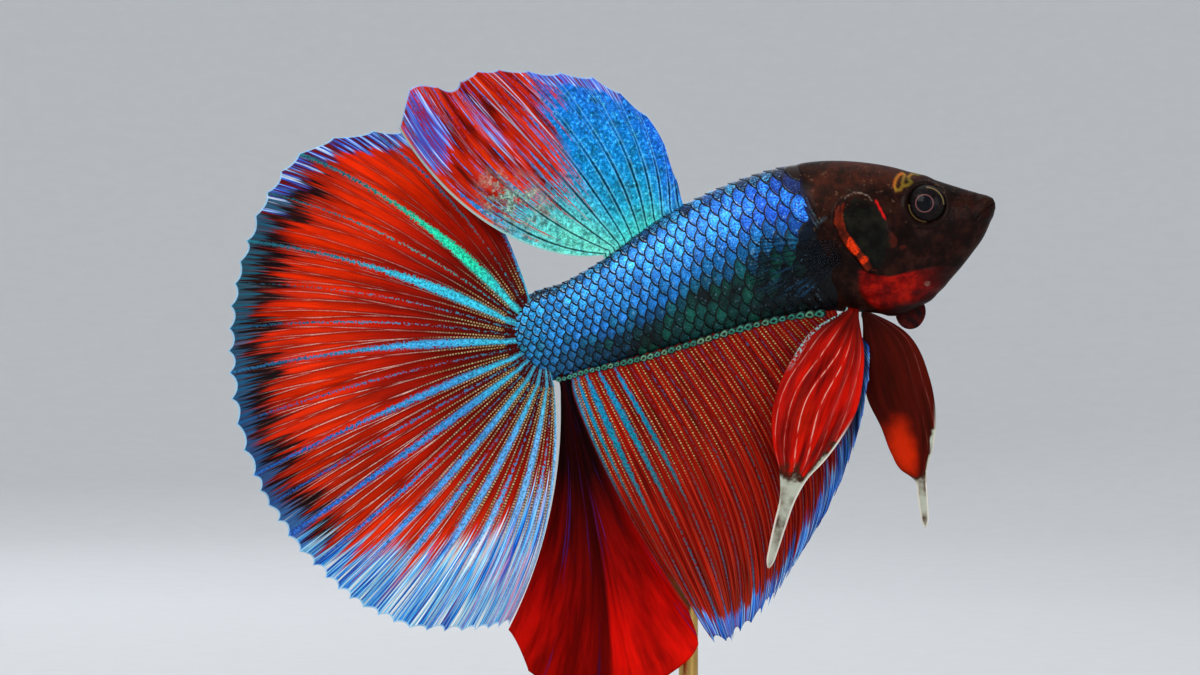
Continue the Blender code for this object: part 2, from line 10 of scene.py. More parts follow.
import bpy
import numpy as np
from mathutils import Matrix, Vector


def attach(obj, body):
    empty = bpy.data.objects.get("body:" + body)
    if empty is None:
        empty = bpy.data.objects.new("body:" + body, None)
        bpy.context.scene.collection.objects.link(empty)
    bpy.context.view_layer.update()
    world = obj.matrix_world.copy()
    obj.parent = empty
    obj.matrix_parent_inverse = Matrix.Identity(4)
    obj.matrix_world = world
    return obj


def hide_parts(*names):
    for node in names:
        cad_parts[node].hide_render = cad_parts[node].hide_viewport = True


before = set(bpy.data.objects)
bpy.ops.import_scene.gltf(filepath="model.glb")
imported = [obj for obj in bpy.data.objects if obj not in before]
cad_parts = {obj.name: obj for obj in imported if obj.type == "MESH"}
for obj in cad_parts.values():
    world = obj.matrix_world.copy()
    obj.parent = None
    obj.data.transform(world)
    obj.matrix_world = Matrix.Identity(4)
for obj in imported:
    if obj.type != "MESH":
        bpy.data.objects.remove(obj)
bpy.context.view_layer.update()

# ------------------------------------------------------------------ floor, light and camera
# A matt paper sweep, flat under the model and curved up far away on every side, so that no edge shows.
# Two large soft lamps stand in front, one above and one behind, as on a product table.

MM = 0.001
SWEEP_MIDDLE, SWEEP_FLAT, SWEEP_CURVE, SWEEP_HEIGHT = 60.0, 420.0, 700.0, 1100.0
SWEEP_SECTORS = 96
PAPER = "#dfe1e3"
VIEW_CENTRE = (-1.2, 0.0, 45.9)
VIEW_DISTANCE, VIEW_WIDTH = 410.0, 108.8
SENSOR = 36.0
# name, place, width, power in watts, colour
LAMPS = (
    ("key", (-170.0, -380.0, 330.0), 260.0, 1.15, "#fffaf4"),
    ("fill", (330.0, -330.0, 150.0), 240.0, 0.35, "#f4f8ff"),
    ("top", (20.0, 60.0, 460.0), 300.0, 0.2, "#ffffff"),
    ("back", (-120.0, 420.0, 260.0), 280.0, 0.4, "#f8faff"),
)
ROOM_LIGHT = 0.85


def linear(code):
    """The linear colour of an sRGB hex code."""
    parts = [int(code[i:i + 2], 16) / 255 for i in (1, 3, 5)]
    return (*((c / 12.92 if c < 0.04045 else ((c + 0.055) / 1.055) ** 2.4) for c in parts), 1.0)


def node(kind, *inputs, out=0, **settings):
    """Adds a node to the material in work.

    An input is a number, a hex colour, a socket, or an inner node written as (kind, inputs...). A dict gives
    the inputs by name. Kinds in capitals are sums, and the stops of a ramp follow its input."""
    if kind == "SMOOTHSTEP":
        kind, settings = "MapRange", {"interpolation_type": "SMOOTHSTEP"}
    elif kind.isupper():
        kind, settings = "Math", {"operation": kind}
    made = tree.nodes.new("ShaderNode" + kind)
    for key, value in settings.items():
        setattr(made, key, value)
    if kind == "ValToRGB":
        inputs, stops = inputs[:1], inputs[1:]
        for i, (place, colour) in enumerate(stops[:1] + stops[-1:] + stops[1:-1]):
            stop = made.color_ramp.elements[i] if i < 2 else made.color_ramp.elements.new(place)
            stop.position, stop.color = place, linear(colour)
    named = inputs[0].items() if inputs and isinstance(inputs[0], dict) else enumerate(inputs)
    for key, value in named:
        if isinstance(value, tuple) and isinstance(value[0], str):
            value = node(*value)
        if isinstance(value, bpy.types.NodeSocket):
            tree.links.new(value, made.inputs[key])
        else:
            made.inputs[key].default_value = linear(value) if isinstance(value, str) else value
    return made.outputs[out]


def material(name, **constants):
    """A new material with these settings on its shader, and its node tree."""
    made = bpy.data.materials.new(name)
    made.use_nodes = True
    shader = made.node_tree.nodes["Principled BSDF"]
    for key, value in constants.items():
        shader.inputs[key.replace("_", " ")].default_value = value
    return made, made.node_tree


def onto(relief=None, **sockets):
    """Leads sockets or inner nodes into the shader. A relief is (height, strength, depth in millimetres)."""
    shader = tree.nodes["Principled BSDF"]
    if relief:
        height, strength, depth = relief
        sockets["Normal"] = ("Bump", {"Height": height, "Strength": strength, "Distance": depth * MM})
    for key, value in sockets.items():
        socket = node(*value) if isinstance(value, tuple) else value
        tree.links.new(socket, shader.inputs[key.replace("_", " ")])


def layered(colour, *coats):
    """Lays colours over one another, each through its own mask. A coat may name another way to blend."""
    for mask, over, *blend in coats:
        colour = node("Mix", {0: mask, 6: colour, 7: over}, out=2, data_type="RGBA",
            blend_type=(blend or ["MIX"])[0])
    return colour


def clouds(size, detail, roughness=0.5):
    """Noise in the solid, whose largest clouds are about this many millimetres across."""
    return node("TexNoise", {"Vector": node("TexCoord", out=3), "Scale": 1 / (size * MM), "Detail": detail,
        "Roughness": roughness})


def joined(*parts):
    """Arrays of numbers, side by side in a new last axis."""
    return np.stack(np.broadcast_arrays(*parts), -1)


def mesh_of(name, points, *faces):
    """A smooth mesh of points in millimetres. Each array of faces has its own number of corners."""
    mesh = bpy.data.meshes.new(name)
    mesh.vertices.add(len(points))
    mesh.vertices.foreach_set("co", (np.asarray(points, float) * MM).ravel())
    corners = np.concatenate([np.asarray(group).ravel() for group in faces])
    sizes = np.concatenate([np.full(len(group), np.shape(group)[1]) for group in faces])
    mesh.loops.add(len(corners))
    mesh.loops.foreach_set("vertex_index", corners)
    mesh.polygons.add(len(sizes))
    mesh.polygons.foreach_set("loop_start", np.cumsum(sizes) - sizes)
    mesh.update(calc_edges=True)
    mesh.shade_smooth()
    return mesh


def lattice(rows, columns, closed=False):
    """Four-cornered faces between rows and columns of points, and each corner's (row, column)."""
    i, j = (a.ravel() for a in np.mgrid[0:rows - 1, 0:columns - (0 if closed else 1)])
    at = np.stack([np.stack((i + a, j + b), -1) for a, b in ((0, 0), (0, 1), (1, 1), (1, 0))], 1)
    return at[..., 0] * columns + at[..., 1] % columns, at


def wrapped(name, rings, ends=2, inward=False):
    """A mesh through closed rings of points, with a flat end on the first ring, or on the first and last."""
    rows, columns = rings.shape[:2]
    quads, _ = lattice(rows, columns, closed=True)
    ring = np.arange(columns)[None, :]
    faces = [quads, ring[:, ::-1], ring + (rows - 1) * columns][:1 + ends]
    if inward:
        faces = [group[:, ::-1] for group in faces]
    return mesh_of(name, rings.reshape(-1, 3), *faces)


def lathed(profile, sectors, x=0.0, y=0.0):
    """Rings of points round an upright axis, one for each (radius, height) of a profile."""
    radius, height = np.array(profile).T[..., None]
    turn = np.linspace(0.0, 2 * math.pi, sectors, endpoint=False)
    return joined(x + radius * np.cos(turn), y + radius * np.sin(turn), height)


def placed_object(name, mesh, finish):
    """Puts a mesh in the scene as an object with its material."""
    made = bpy.data.objects.new(name, mesh)
    bpy.context.scene.collection.objects.link(made)
    mesh.materials.append(finish)
    return made


profile = [(SWEEP_MIDDLE, 0.0), (SWEEP_FLAT, 0.0)]
profile += [(SWEEP_FLAT + SWEEP_CURVE * math.sin(turn), SWEEP_CURVE * (1 - math.cos(turn)))
    for turn in np.linspace(0.0, math.pi / 2, 13)[1:]]
profile += [(SWEEP_FLAT + SWEEP_CURVE, SWEEP_HEIGHT)]
paper, tree = material("paper_sweep", Roughness=0.9)
# Matt card: an even pale grey with only a trace of fibre.
onto(Base_Color=layered(PAPER, (clouds(4.0, 4.0), "#d8dadc")))
rings = lathed(profile, SWEEP_SECTORS)
sweep = placed_object("paper_sweep", wrapped("paper_sweep", rings, ends=1, inward=True), paper)

for name, place, width, power, colour in LAMPS:
    lamp = bpy.data.lights.new(name, "AREA")
    lamp.size, lamp.energy, lamp.color = width * MM, power, linear(colour)[:3]
    made = bpy.data.objects.new(name, lamp)
    made.location = Vector(place) * MM
    made.rotation_euler = (Vector(VIEW_CENTRE) - Vector(place)).to_track_quat("-Z", "Y").to_euler()
    bpy.context.scene.collection.objects.link(made)

room = bpy.data.worlds.new("room")
room.use_nodes = True
room.node_tree.nodes["Background"].inputs["Color"].default_value = linear("#eef1f5")
room.node_tree.nodes["Background"].inputs["Strength"].default_value = ROOM_LIGHT
bpy.context.scene.world = room

camera = bpy.data.objects.new("camera", bpy.data.cameras.new("camera"))
camera.data.sensor_width = SENSOR
camera.data.lens = SENSOR * VIEW_DISTANCE / VIEW_WIDTH
camera.data.clip_start = 0.01
camera.location = (VIEW_CENTRE[0] * MM, -VIEW_DISTANCE * MM, VIEW_CENTRE[2] * MM)
camera.rotation_euler = (math.pi / 2, 0.0, 0.0)
bpy.context.scene.collection.objects.link(camera)
bpy.context.scene.camera = camera
bpy.context.scene.view_settings.view_transform = "Standard"

# ------------------------------------------------------------------ skin
# One skin over the whole fish, from the lips to the end of the tail stalk, on both sides. It is bare and
# brown on the head, with the gill cover as a stiff plate whose rear edge stands free, and red gill membrane
# under it. Behind the head it is dark and carries the scales.

BODY_LENGTH = 45.0
BODY_PITCH = 15.67
SNOUT_X, SNOUT_Z = 34.55, 58.0
TAIL_SWING, SWING_START = 1.6, 20.0
# distance behind the snout, top, bottom, half width, height of the widest line
BODY_SECTIONS = (
    (0.0, 0.55, -0.45, 0.55, 0.1),
    (0.7, 1.1, -1.4, 1.1, 0.0),
    (1.6, 1.65, -2.5, 1.5, -0.1),
    (3.1, 2.6, -3.75, 2.05, -0.1),
    (5.3, 4.05, -5.3, 2.6, 0.0),
    (8.0, 5.75, -6.75, 3.05, 0.1),
    (11.0, 7.1, -7.25, 3.35, 0.3),
    (14.2, 8.05, -6.2, 3.5, 0.7),
    (18.7, 8.5, -5.05, 3.45, 1.2),
    (24.0, 8.15, -4.6, 3.1, 1.2),
    (30.0, 6.85, -4.7, 2.5, 0.8),
    (35.7, 4.75, -4.8, 1.9, 0.0),
    (39.7, 3.75, -4.8, 1.45, -0.4),
    (43.0, 3.45, -4.6, 1.0, -0.6),
    (44.6, 2.5, -3.6, 0.7, -0.6),
    (45.4, 1.2, -2.2, 0.45, -0.6),
)
BACK_FULLNESS, BELLY_FULLNESS = 2.1, 1.65
SKIN_END = BODY_SECTIONS[-1][0]
COAT_DEPTH = 0.14  # the skin lies this far inside the solid where it carries scales
COAT_START = 15.6
SKIN_ROWS, SKIN_HALF_RING = 340, 110
EYE_AT, EYE_HEIGHT, EYE_OUT = 6.15, 1.6, 2.12
EYE_RADIUS, EYE_HALF_DEPTH = 1.8, 1.05
# Head features, as (distance behind the snout, height) on the flank
GILL_EDGE = ((-4.2, 10.2), (-3.5, 12.2), (-2.57, 13.1), (-1.49, 13.45), (-0.3, 14.08), (1.01, 14.55),
             (2.24, 14.7), (3.15, 14.37), (3.9, 13.7), (4.4, 12.6))  # height, then distance
CHEEK_EDGE = ((5.6, -4.1), (8.2, -3.9), (11.0, -3.76), (12.5, -3.1), (13.4, -2.5))  # distance, then height
MOUTH = ((-0.3, 0.2), (0.7, -0.12), (1.5, -0.55), (2.1, -1.0))
LIP_FOLD = ((1.2, 1.1), (2.0, 0.85), (2.5, 0.35), (2.7, -0.3), (2.5, -0.95))
PREGILL = ((10.3, 2.9), (9.9, 1.2), (9.5, -0.6), (8.6, -2.0), (6.9, -3.0))
GOLD_MARK = ((6.1, 4.3), (6.3, 4.52), (6.62, 4.6), (6.98, 4.4), (7.08, 4.12), (6.9, 3.86), (7.3, 3.7),
             (7.75, 3.78), (8.1, 3.5), (8.42, 3.55), (8.46, 3.95), (8.3, 4.3), (8.05, 4.6), (7.75, 4.82),
             (7.4, 4.9), (7.2, 4.7), (7.45, 4.4), (7.7, 4.0))
RED_STREAK = ((10.45, 3.1), (10.3, 2.3), (10.12, 1.4))
PALE_LINE = ((13.2, 4.05), (12.6, 4.3), (11.8, 4.2), (11.1, 3.8), (10.85, 3.25))
SHOULDER_RIDGES = (((16.45, 5.1), (16.3, 3.9), (16.0, 2.6), (15.2, 2.9)),
                   ((16.9, 4.6), (16.6, 3.6), (16.2, 2.3)))
# How high each line stands out of the skin, or how deep it lies, and its half width
RAISED_LINES = ((-0.16, MOUTH, 0.14), (-0.04, LIP_FOLD, 0.4), (-0.05, PREGILL, 0.5), (0.05, GOLD_MARK, 0.3),
                (0.03, PALE_LINE, 0.2), *((0.07, ridge, 0.22) for ridge in SHOULDER_RIDGES))
# The same for soft ovals: height, middle, radii and softness
RAISED_SPOTS = (
    (0.13, (0.9, 0.55), (1.2, 0.7), 0.9),  # upper lip
    (0.12, (1.2, -0.9), (1.5, 0.6), 0.9),  # lower lip
    (0.22, (8.4, -1.2), (2.6, 2.2), 0.95),  # cheek
    (0.16, (6.3, 4.0), (2.6, 0.7), 0.9),  # brow
    (-0.2, (3.35, 1.65), (0.2, 0.15), 0.7),  # nostrils
    (-0.14, (2.5, 1.35), (0.12, 0.1), 0.7),
)


def through(table, at, column):
    """The smooth curve through one column of a table, read at these places along its first column."""
    x, y = np.array([(row[0], row[column]) for row in table], float).T
    at = np.clip(np.asarray(at, float), x[0], x[-1])
    slope = np.gradient(y, x)
    i = np.clip(np.searchsorted(x, at, side="right") - 1, 0, len(x) - 2)
    span = x[i + 1] - x[i]
    t = (at - x[i]) / span
    rise = y[i + 1] - y[i]
    start, end = slope[i] * span, slope[i + 1] * span
    return y[i] + t * start + t * t * (3 * rise - 2 * start - end) + t**3 * (start + end - 2 * rise)


def placed(behind_snout, height, side):
    """A point of the body's own frame in the model's frame: side is measured from the bent middle plane."""
    pitch = math.radians(BODY_PITCH)
    along, height = np.asarray(behind_snout, float), np.asarray(height, float)
    reach = (along - SWING_START) / (BODY_LENGTH - SWING_START)
    x = SNOUT_X - along * math.cos(pitch) - height * math.sin(pitch)
    z = SNOUT_Z - along * math.sin(pitch) + height * math.cos(pitch)
    y = np.asarray(side, float) - TAIL_SWING * np.maximum(reach, 0.0) ** 2
    return joined(x, y, z)


def outline(behind_snout, turn, side):
    """Height and sideways reach of the body's section, turning from the back (0) to the belly (pi)."""
    top, bottom, wide, belt = (through(BODY_SECTIONS, behind_snout, c) for c in (1, 2, 3, 4))
    up = np.cos(turn)
    fullness = np.where(up > 0, BACK_FULLNESS, BELLY_FULLNESS)
    height = belt + np.where(up > 0, top - belt, belt - bottom) * up
    return height, side * wide * (1.0 - np.abs(up) ** fullness).clip(0.0) ** (1.0 / fullness)


# The turn at each share of the way from back to belly, so that shares measure length along the skin
TABLE_AT = np.linspace(0.0, SKIN_END, 228)
TABLE_SHARE = np.linspace(0.0, 1.0, 161)
turns = np.linspace(0.0, math.pi, 361)
high, wide = outline(TABLE_AT[:, None], turns[None, :], 1.0)
run = np.cumsum(np.hypot(np.diff(high, axis=1), np.diff(wide, axis=1)), axis=1)
run = np.hstack((np.zeros((len(run), 1)), run))
HALF_GIRTH = run[:, -1]
TURN_TABLE = np.array([np.interp(TABLE_SHARE, line / line[-1], turns) for line in run])


def turn_of(behind_snout, share):
    at = np.clip(np.asarray(behind_snout, float) / SKIN_END, 0, 1) * (len(TABLE_AT) - 1.001)
    down = np.clip(np.asarray(share, float), 0, 1) * (len(TABLE_SHARE) - 1.001)
    i, j = at.astype(int), down.astype(int)
    a, b = at - i, down - j
    low = TURN_TABLE[i, j] * (1 - b) + TURN_TABLE[i, j + 1] * b
    return low * (1 - a) + (TURN_TABLE[i + 1, j] * (1 - b) + TURN_TABLE[i + 1, j + 1] * b) * a


def on_body(behind_snout, share, side):
    """Point and outward direction of the body's surface, and its height above the body's axis."""
    step_at, step_share = 0.03, 0.004
    behind_snout, share, side = np.broadcast_arrays(behind_snout, share, side)

    def point(s, k):
        return placed(s, *outline(s, turn_of(s, k), side))

    ahead = np.clip(share + step_share, 0, 1)
    back = np.clip(share - step_share, 0, 1)
    down = point(behind_snout, ahead) - point(behind_snout, back)
    along = point(np.minimum(behind_snout + step_at, SKIN_END), share)
    along = along - point(np.maximum(behind_snout - step_at, 0.0), share)
    out = np.cross(down, along) * side[..., None]
    out[(share <= 0) | (share >= 1), 1] = 0.0
    out /= np.linalg.norm(out, axis=-1, keepdims=True)
    return point(behind_snout, share), out, outline(behind_snout, turn_of(behind_snout, share), side)[0]


def smooth(x, start, end):
    """0 before start, 1 after end and an even rise between them; start may be the larger."""
    t = np.clip((x - start) / (end - start), 0.0, 1.0)
    return t * t * (3 - 2 * t)


def near(s, h, line, width):
    """1 on a line drawn through these places, falling off to 0 across its half width."""
    best = np.full(np.shape(s), 1e9)
    for (s0, h0), (s1, h1) in zip(line, line[1:]):
        ds, dh = s1 - s0, h1 - h0
        t = np.clip(((s - s0) * ds + (h - h0) * dh) / (ds * ds + dh * dh), 0, 1)
        best = np.minimum(best, np.hypot(s - s0 - t * ds, h - h0 - t * dh))
    return smooth(best, width, width * 0.35)


def spot(s, h, centre, radii, soft=0.5):
    """1 inside an oval and 0 outside it, with a soft edge."""
    return smooth(np.hypot((s - centre[0]) / radii[0], (h - centre[1]) / radii[1]), 1.0, 1.0 - soft)


def write_fields(mesh, **fields):
    """Stores three numbers on each point of the mesh, which its material reads by name.

    A sheet's two sides share them. The skin's two end points take those of its first and last point."""
    count = len(mesh.vertices)
    for name, values in fields.items():
        values = joined(*values).reshape(-1, 3)
        values = np.vstack((*[values] * (count // len(values)), values[:1], values[-1:]))[:count]
        made = mesh.attributes.new(name, "FLOAT_VECTOR", "POINT")
        made.data.foreach_set("vector", values.astype(np.float32).ravel())


def write_map(mesh, corners):
    """The flat layout of the surface, in which its colours can be stored."""
    layer = mesh.uv_layers.new(name="OFBake")
    layer.data.foreach_set("uv", np.asarray(corners, np.float32).ravel())


def read(name):
    """The three numbers of a vector field."""
    vector = node("Attribute", out=1, attribute_name=name)
    return node("SeparateXYZ", vector, out=slice(0, 3))


def worn(mask, noise, by, low=0.4, high=0.6):
    """A mask with its edge broken up: the noise shifts it by up to this much either way."""
    shift = node("MapRange", noise, 0.36, 0.64, -by, by)
    return node("SMOOTHSTEP", ("ADD", mask, shift), low, high)


def flank_colour(s, share, wander):
    """The markings of skin and scales: violet-blue to azure on the upper flank, teal to black below."""
    along = node("MapRange", s, 15.0, 45.0)
    upper = node("ValToRGB", along, (0.0, "#1c4cc4"), (0.2, "#2460dc"),
        (0.42, "#3484e4"), (0.7, "#2c86e0"), (0.88, "#2484d4"), (1.0, "#2090c8"))
    middle = node("ValToRGB", along, (0.0, "#104a80"), (0.2, "#125e9c"),
        (0.5, "#1a70bc"), (0.8, "#2478cc"), (1.0, "#2a90d0"))
    lower = node("ValToRGB", along, (0.0, "#030506"), (0.2, "#062020"),
        (0.42, "#0c4440"), (0.62, "#08242c"), (0.8, "#103c5c"), (1.0, "#2478b8"))
    down = node("ADD", share, ("MULTIPLY", ("SUBTRACT", wander, 0.5), 0.22))
    depth = node("SUBTRACT", down, ("MapRange", s, 16.0, 42.0, 0.42, 0.62))
    colour = layered(
        upper,
        (("SMOOTHSTEP", depth, -0.12, 0.02), middle),
        (("SMOOTHSTEP", depth, 0.02, 0.16), lower))
    shade = node("MULTIPLY", ("SMOOTHSTEP", depth, 0.06, 0.2), ("SMOOTHSTEP", wander, 0.5, 0.62))
    behind_gill = node("MULTIPLY", ("SMOOTHSTEP", s, 21.5, 18.0), ("SMOOTHSTEP", down, 0.42, 0.54))
    return layered(
        colour,
        (("MULTIPLY", shade, ("SMOOTHSTEP", s, 38.0, 34.0)), "#0a1215"),
        (behind_gill, "#080c10"),
        (("MapRange", down, 0.15, 0.07, 0.0, 0.92), "#1c100c"),
        (("SMOOTHSTEP", share, 0.94, 0.965), "#2a7a5c"))


# Rows crowd towards the lips, where the form turns fastest
rows = SKIN_END * np.linspace(0.0, 1.0, SKIN_ROWS) ** 1.18
shares = np.linspace(0.0, 1.0, SKIN_HALF_RING + 1)
share = np.concatenate((shares, shares[-2:0:-1]))
ring = len(share)
side = np.where(np.arange(ring) <= SKIN_HALF_RING, -1.0, 1.0)
s, share, side = np.broadcast_arrays(rows[:, None], share, side)
points, out, h = on_body(s, share, side)

# The gill cover: a plate that stands free at its rear edge, over the soft membrane of the throat
gill_rear = np.interp(h, *np.array(GILL_EDGE).T)
cheek_low = np.interp(s, *np.array(CHEEK_EDGE).T)
membrane_rear = np.interp(h, (-7.3, -5.6, -4.2, -2.5), (12.0, 13.4, 13.9, 13.5))
in_plate = smooth(h, 5.2, 4.0) * smooth(h - cheek_low, -0.06, 0.06) * (s < 20)
plate = in_plate * smooth(s - gill_rear, 0.05, -0.05)
membrane = smooth(h - cheek_low, 0.06, -0.06) * smooth(s, 5.4, 7.4) * smooth(s - membrane_rear, 0.35, -0.35)
lift = 0.5 * plate * smooth(s, 8.5, 14.5) + membrane * (0.12 + 0.05 * np.sin((h - 0.18 * s) * 5.2))
# The eye's raised rim, the groove inside it and the socket
from_eye = np.hypot(s - EYE_AT, h - EYE_HEIGHT)
lift += 0.15 * np.exp(-((from_eye - 2.0) / 0.16) ** 2) - 0.14 * np.exp(-((from_eye - 1.72) / 0.07) ** 2)
lift -= 0.75 * smooth(from_eye, 1.68, 1.45)
for height, line, width in RAISED_LINES:
    lift += height * near(s, h, line, width)
for height, *oval in RAISED_SPOTS:
    lift += height * spot(s, h, *oval)
lift -= COAT_DEPTH * smooth(s, COAT_START, COAT_START + 1.5) + 0.02
points = points + out * lift[..., None]
quads, at = (a[:, ::-1] for a in lattice(SKIN_ROWS, ring, closed=True))
# The ends of the skin close in a fan of triangles round one point
tips = placed((-0.12, SKIN_END + 0.2), (0.08, -0.5), 0.0)
around = np.arange(ring)
after = (around + 1) % ring
last = (SKIN_ROWS - 1) * ring
nose_fan = joined(SKIN_ROWS * ring, around, after)
tail_fan = joined(SKIN_ROWS * ring + 1, last + after, last + around)
mesh = mesh_of("skin", np.vstack((points.reshape(-1, 3), tips)), quads, nose_fan, tail_fan)


def on_map(row, column):
    """Where a place on the skin lies in its flat layout."""
    return 0.01 + 0.98 * joined(np.asarray(row) / SKIN_END, column)


corners = on_map(rows[at[..., 0]], at[..., 1] / ring).reshape(-1, 2)
around = around[:, None] / ring
nose_corners = on_map((-0.3, 0.0, 0.0), around + np.array((0.5, 0.0, 1.0)) / ring)
tail_corners = on_map((SKIN_END + 0.3, SKIN_END, SKIN_END), around + np.array((0.5, 1.0, 0.0)) / ring)
write_map(mesh, np.vstack((corners, nose_corners.reshape(-1, 2), tail_corners.reshape(-1, 2))))

gold = near(s, h, GOLD_MARK, 0.17)
streak = near(s, h, RED_STREAK, 0.13)
pale = near(s, h, PALE_LINE, 0.08) + 0.6 * spot(s, h, (7.95, -5.26), (0.35, 0.25))
rear_rim = in_plate * smooth(np.abs(s - gill_rear + 0.42), 0.5, 0.3)
rear_rim = rear_rim * smooth(h, -3.2, -2.4) * smooth(h, 4.2, 3.2)
glow = spot(s, h, (13.55, -0.15), (0.75, 1.5), 0.7) + 0.8 * spot(s, h, (12.9, -1.6), (0.9, 0.6), 0.8)
gill_dark = plate * spot(s, h, (12.2, 0.4), (2.3, 3.9), 0.35)
ridges = sum(near(s, h, ridge, 0.12) for ridge in SHOULDER_RIDGES)
lips = spot(s, h, (0.7, 0.3), (1.5, 1.0), 0.8)
blush = spot(s, h, (9.9, -0.7), (0.9, 1.0), 0.8) + 0.8 * spot(s, h, (9.2, -1.5), (0.5, 0.3), 0.6)
write_fields(mesh, body=(s, h, share), marks_gold=(gold, streak, pale),
    marks_gill=(rear_rim, gill_dark, membrane), marks_soft=(glow * in_plate, lips, blush),
    marks_ridge=(ridges, from_eye, 0))

skin_finish, tree = material("fish_skin", Roughness=0.45, Coat_Weight=0.05, Coat_Roughness=0.16,
    Specular_IOR_Level=0.04)
# Wet scaleless skin: dark brown, reddish at the nape and finely mottled, under a clear shiny film of slime.
s_, h_, share_ = read("body")
gold_, streak_, pale_ = read("marks_gold")
rim_, dark_, membrane_ = read("marks_gill")
glow_, lips_, blush_ = read("marks_soft")
ridge_, eye_gap, _ = read("marks_ridge")
mottle = clouds(1.3, 6.0, 0.65)
grain = clouds(0.22, 3.0, 0.6)
patches = clouds(5.0, 2.0)
fine_grain = clouds(0.45, 2.0)
curl = clouds(1.9, 1.0)
brown = node("ValToRGB", mottle, (0.38, "#0c0301"), (0.5, "#1a0804"), (0.64, "#32140b"))
nape = node("MULTIPLY", ("SMOOTHSTEP", h_, 2.5, 6.0), ("SMOOTHSTEP", patches, 0.38, 0.6))
specks = node("MULTIPLY", ("SMOOTHSTEP", fine_grain, 0.63, 0.7), ("MapRange", h_, -1.0, 3.0, 0.05, 0.5))
red = layered(
    ("ValToRGB", mottle, (0.38, "#540302"), (0.5, "#800702"), (0.64, "#b01404")),
    (("SMOOTHSTEP", s_, 10.0, 6.4), "#3c0806"),
    (("SMOOTHSTEP", h_, -5.6, -6.9), "#1c0503"))
orange = node("ValToRGB", grain, (0.4, "#a02004"), (0.62, "#f03c0a"))
head = layered(
    brown,
    (nape, ("ValToRGB", mottle, (0.4, "#24130c"), (0.62, "#4a2014"))),
    (("MULTIPLY", lips_, 0.6), "#2c140c"),
    (("MULTIPLY", worn(blush_, mottle, 0.4), 0.6), "#4c160c"),
    (("SMOOTHSTEP", eye_gap, 2.6, 1.9), "#180b07"),
    (specks, "#6a4c38"),
    (("MULTIPLY", worn(dark_, mottle, 0.5, 0.3, 0.7), 0.92),
        ("ValToRGB", mottle, (0.4, "#040504"), (0.64, "#16180f"))),
    (("MULTIPLY", worn(rim_, mottle, 0.35), 0.85),
        ("ValToRGB", mottle, (0.38, "#3c0e06"), (0.62, "#84240a"))),
    (("MULTIPLY", rim_, worn(glow_, mottle, 0.4)), orange),
    (("MULTIPLY", membrane_, 0.95), red),
    (("MULTIPLY", ridge_, ("MapRange", grain, 0.4, 0.6, 0.1, 0.55)), "#54707c"),
    (gold_, ("ValToRGB", curl, (0.4, "#6a5a1c"), (0.5, "#8e6a22"), (0.62, "#c86420"))),
    (streak_, "#d01410"),
    (("MULTIPLY", pale_, ("MapRange", grain, 0.4, 0.6, 0.15, 0.75)), "#9a8474"))
# What shows between the scales is the same colour, nearly black
under = layered(flank_colour(s_, share_, patches), (0.88, "#04070a"))
back = node("SMOOTHSTEP", ("ADD", s_, ("MULTIPLY", mottle, 1.2)), 16.6, 17.8)
onto(Base_Color=layered(head, (back, under)), Roughness=("MapRange", grain, 0.3, 0.7, 0.3, 0.5),
    relief=(("ADD", grain, ("MULTIPLY", mottle, 0.8)), 0.35, 0.1))
skin = placed_object("skin", mesh, skin_finish)
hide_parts("head", "lower_jaw", "trunk", "tail_stalk", "gill_cover_left", "gill_cover_right")
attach(skin, "root")

# ------------------------------------------------------------------ scales
# Cycloid scales: thin horny plates with a rounded free edge, set in the skin like roof tiles, each half a
# pitch off its neighbours. They shrink towards the tail. Their faces shine blue and their edges are black.

COAT_END = 45.3
ROW_COUNT = 12  # rows from back to belly
PITCH_OF_GIRTH = 0.07  # a scale's step along the body, as a share of the half girth there
SCALE_ALONG, SCALE_ACROSS = 12, 11
SCALE_FRONT, SCALE_WIDEST, SCALE_TIP = -0.85, -0.22, 0.6  # in pitches from its centre
SCALE_LIFT, SCALE_THICKNESS = 0.16, 0.05
MAP_PATCH = 0.003
# The row along the root of the belly fin: how many, start, share of the way down, first and last step
SHEATH_COUNT, SHEATH_START, SHEATH_SHARE, SHEATH_STEPS = 37, 17.2, 0.86, (0.86, 0.5)


def scale_centres(row_shares, shift):
    """(distance, share, pitch) of each scale in a lattice whose every other row sits half a pitch back."""
    found = []
    at = COAT_START + 0.7
    while at < COAT_END:
        pitch = PITCH_OF_GIRTH * float(0.65 * np.interp(at, TABLE_AT, HALF_GIRTH) + 0.35 * HALF_GIRTH.max())
        for row, share in enumerate(row_shares):
            found.append((at + (pitch / 2 if (row + shift) % 2 else 0.0), share, pitch))
        at += pitch
    return np.array(found)


def border(rows, columns):
    """The points round the edge of a grid, in order."""
    grid = np.arange(rows * columns).reshape(rows, columns)
    return np.concatenate((grid[0, :-1], grid[:-1, -1], grid[-1, :0:-1], grid[:0:-1, 0]))


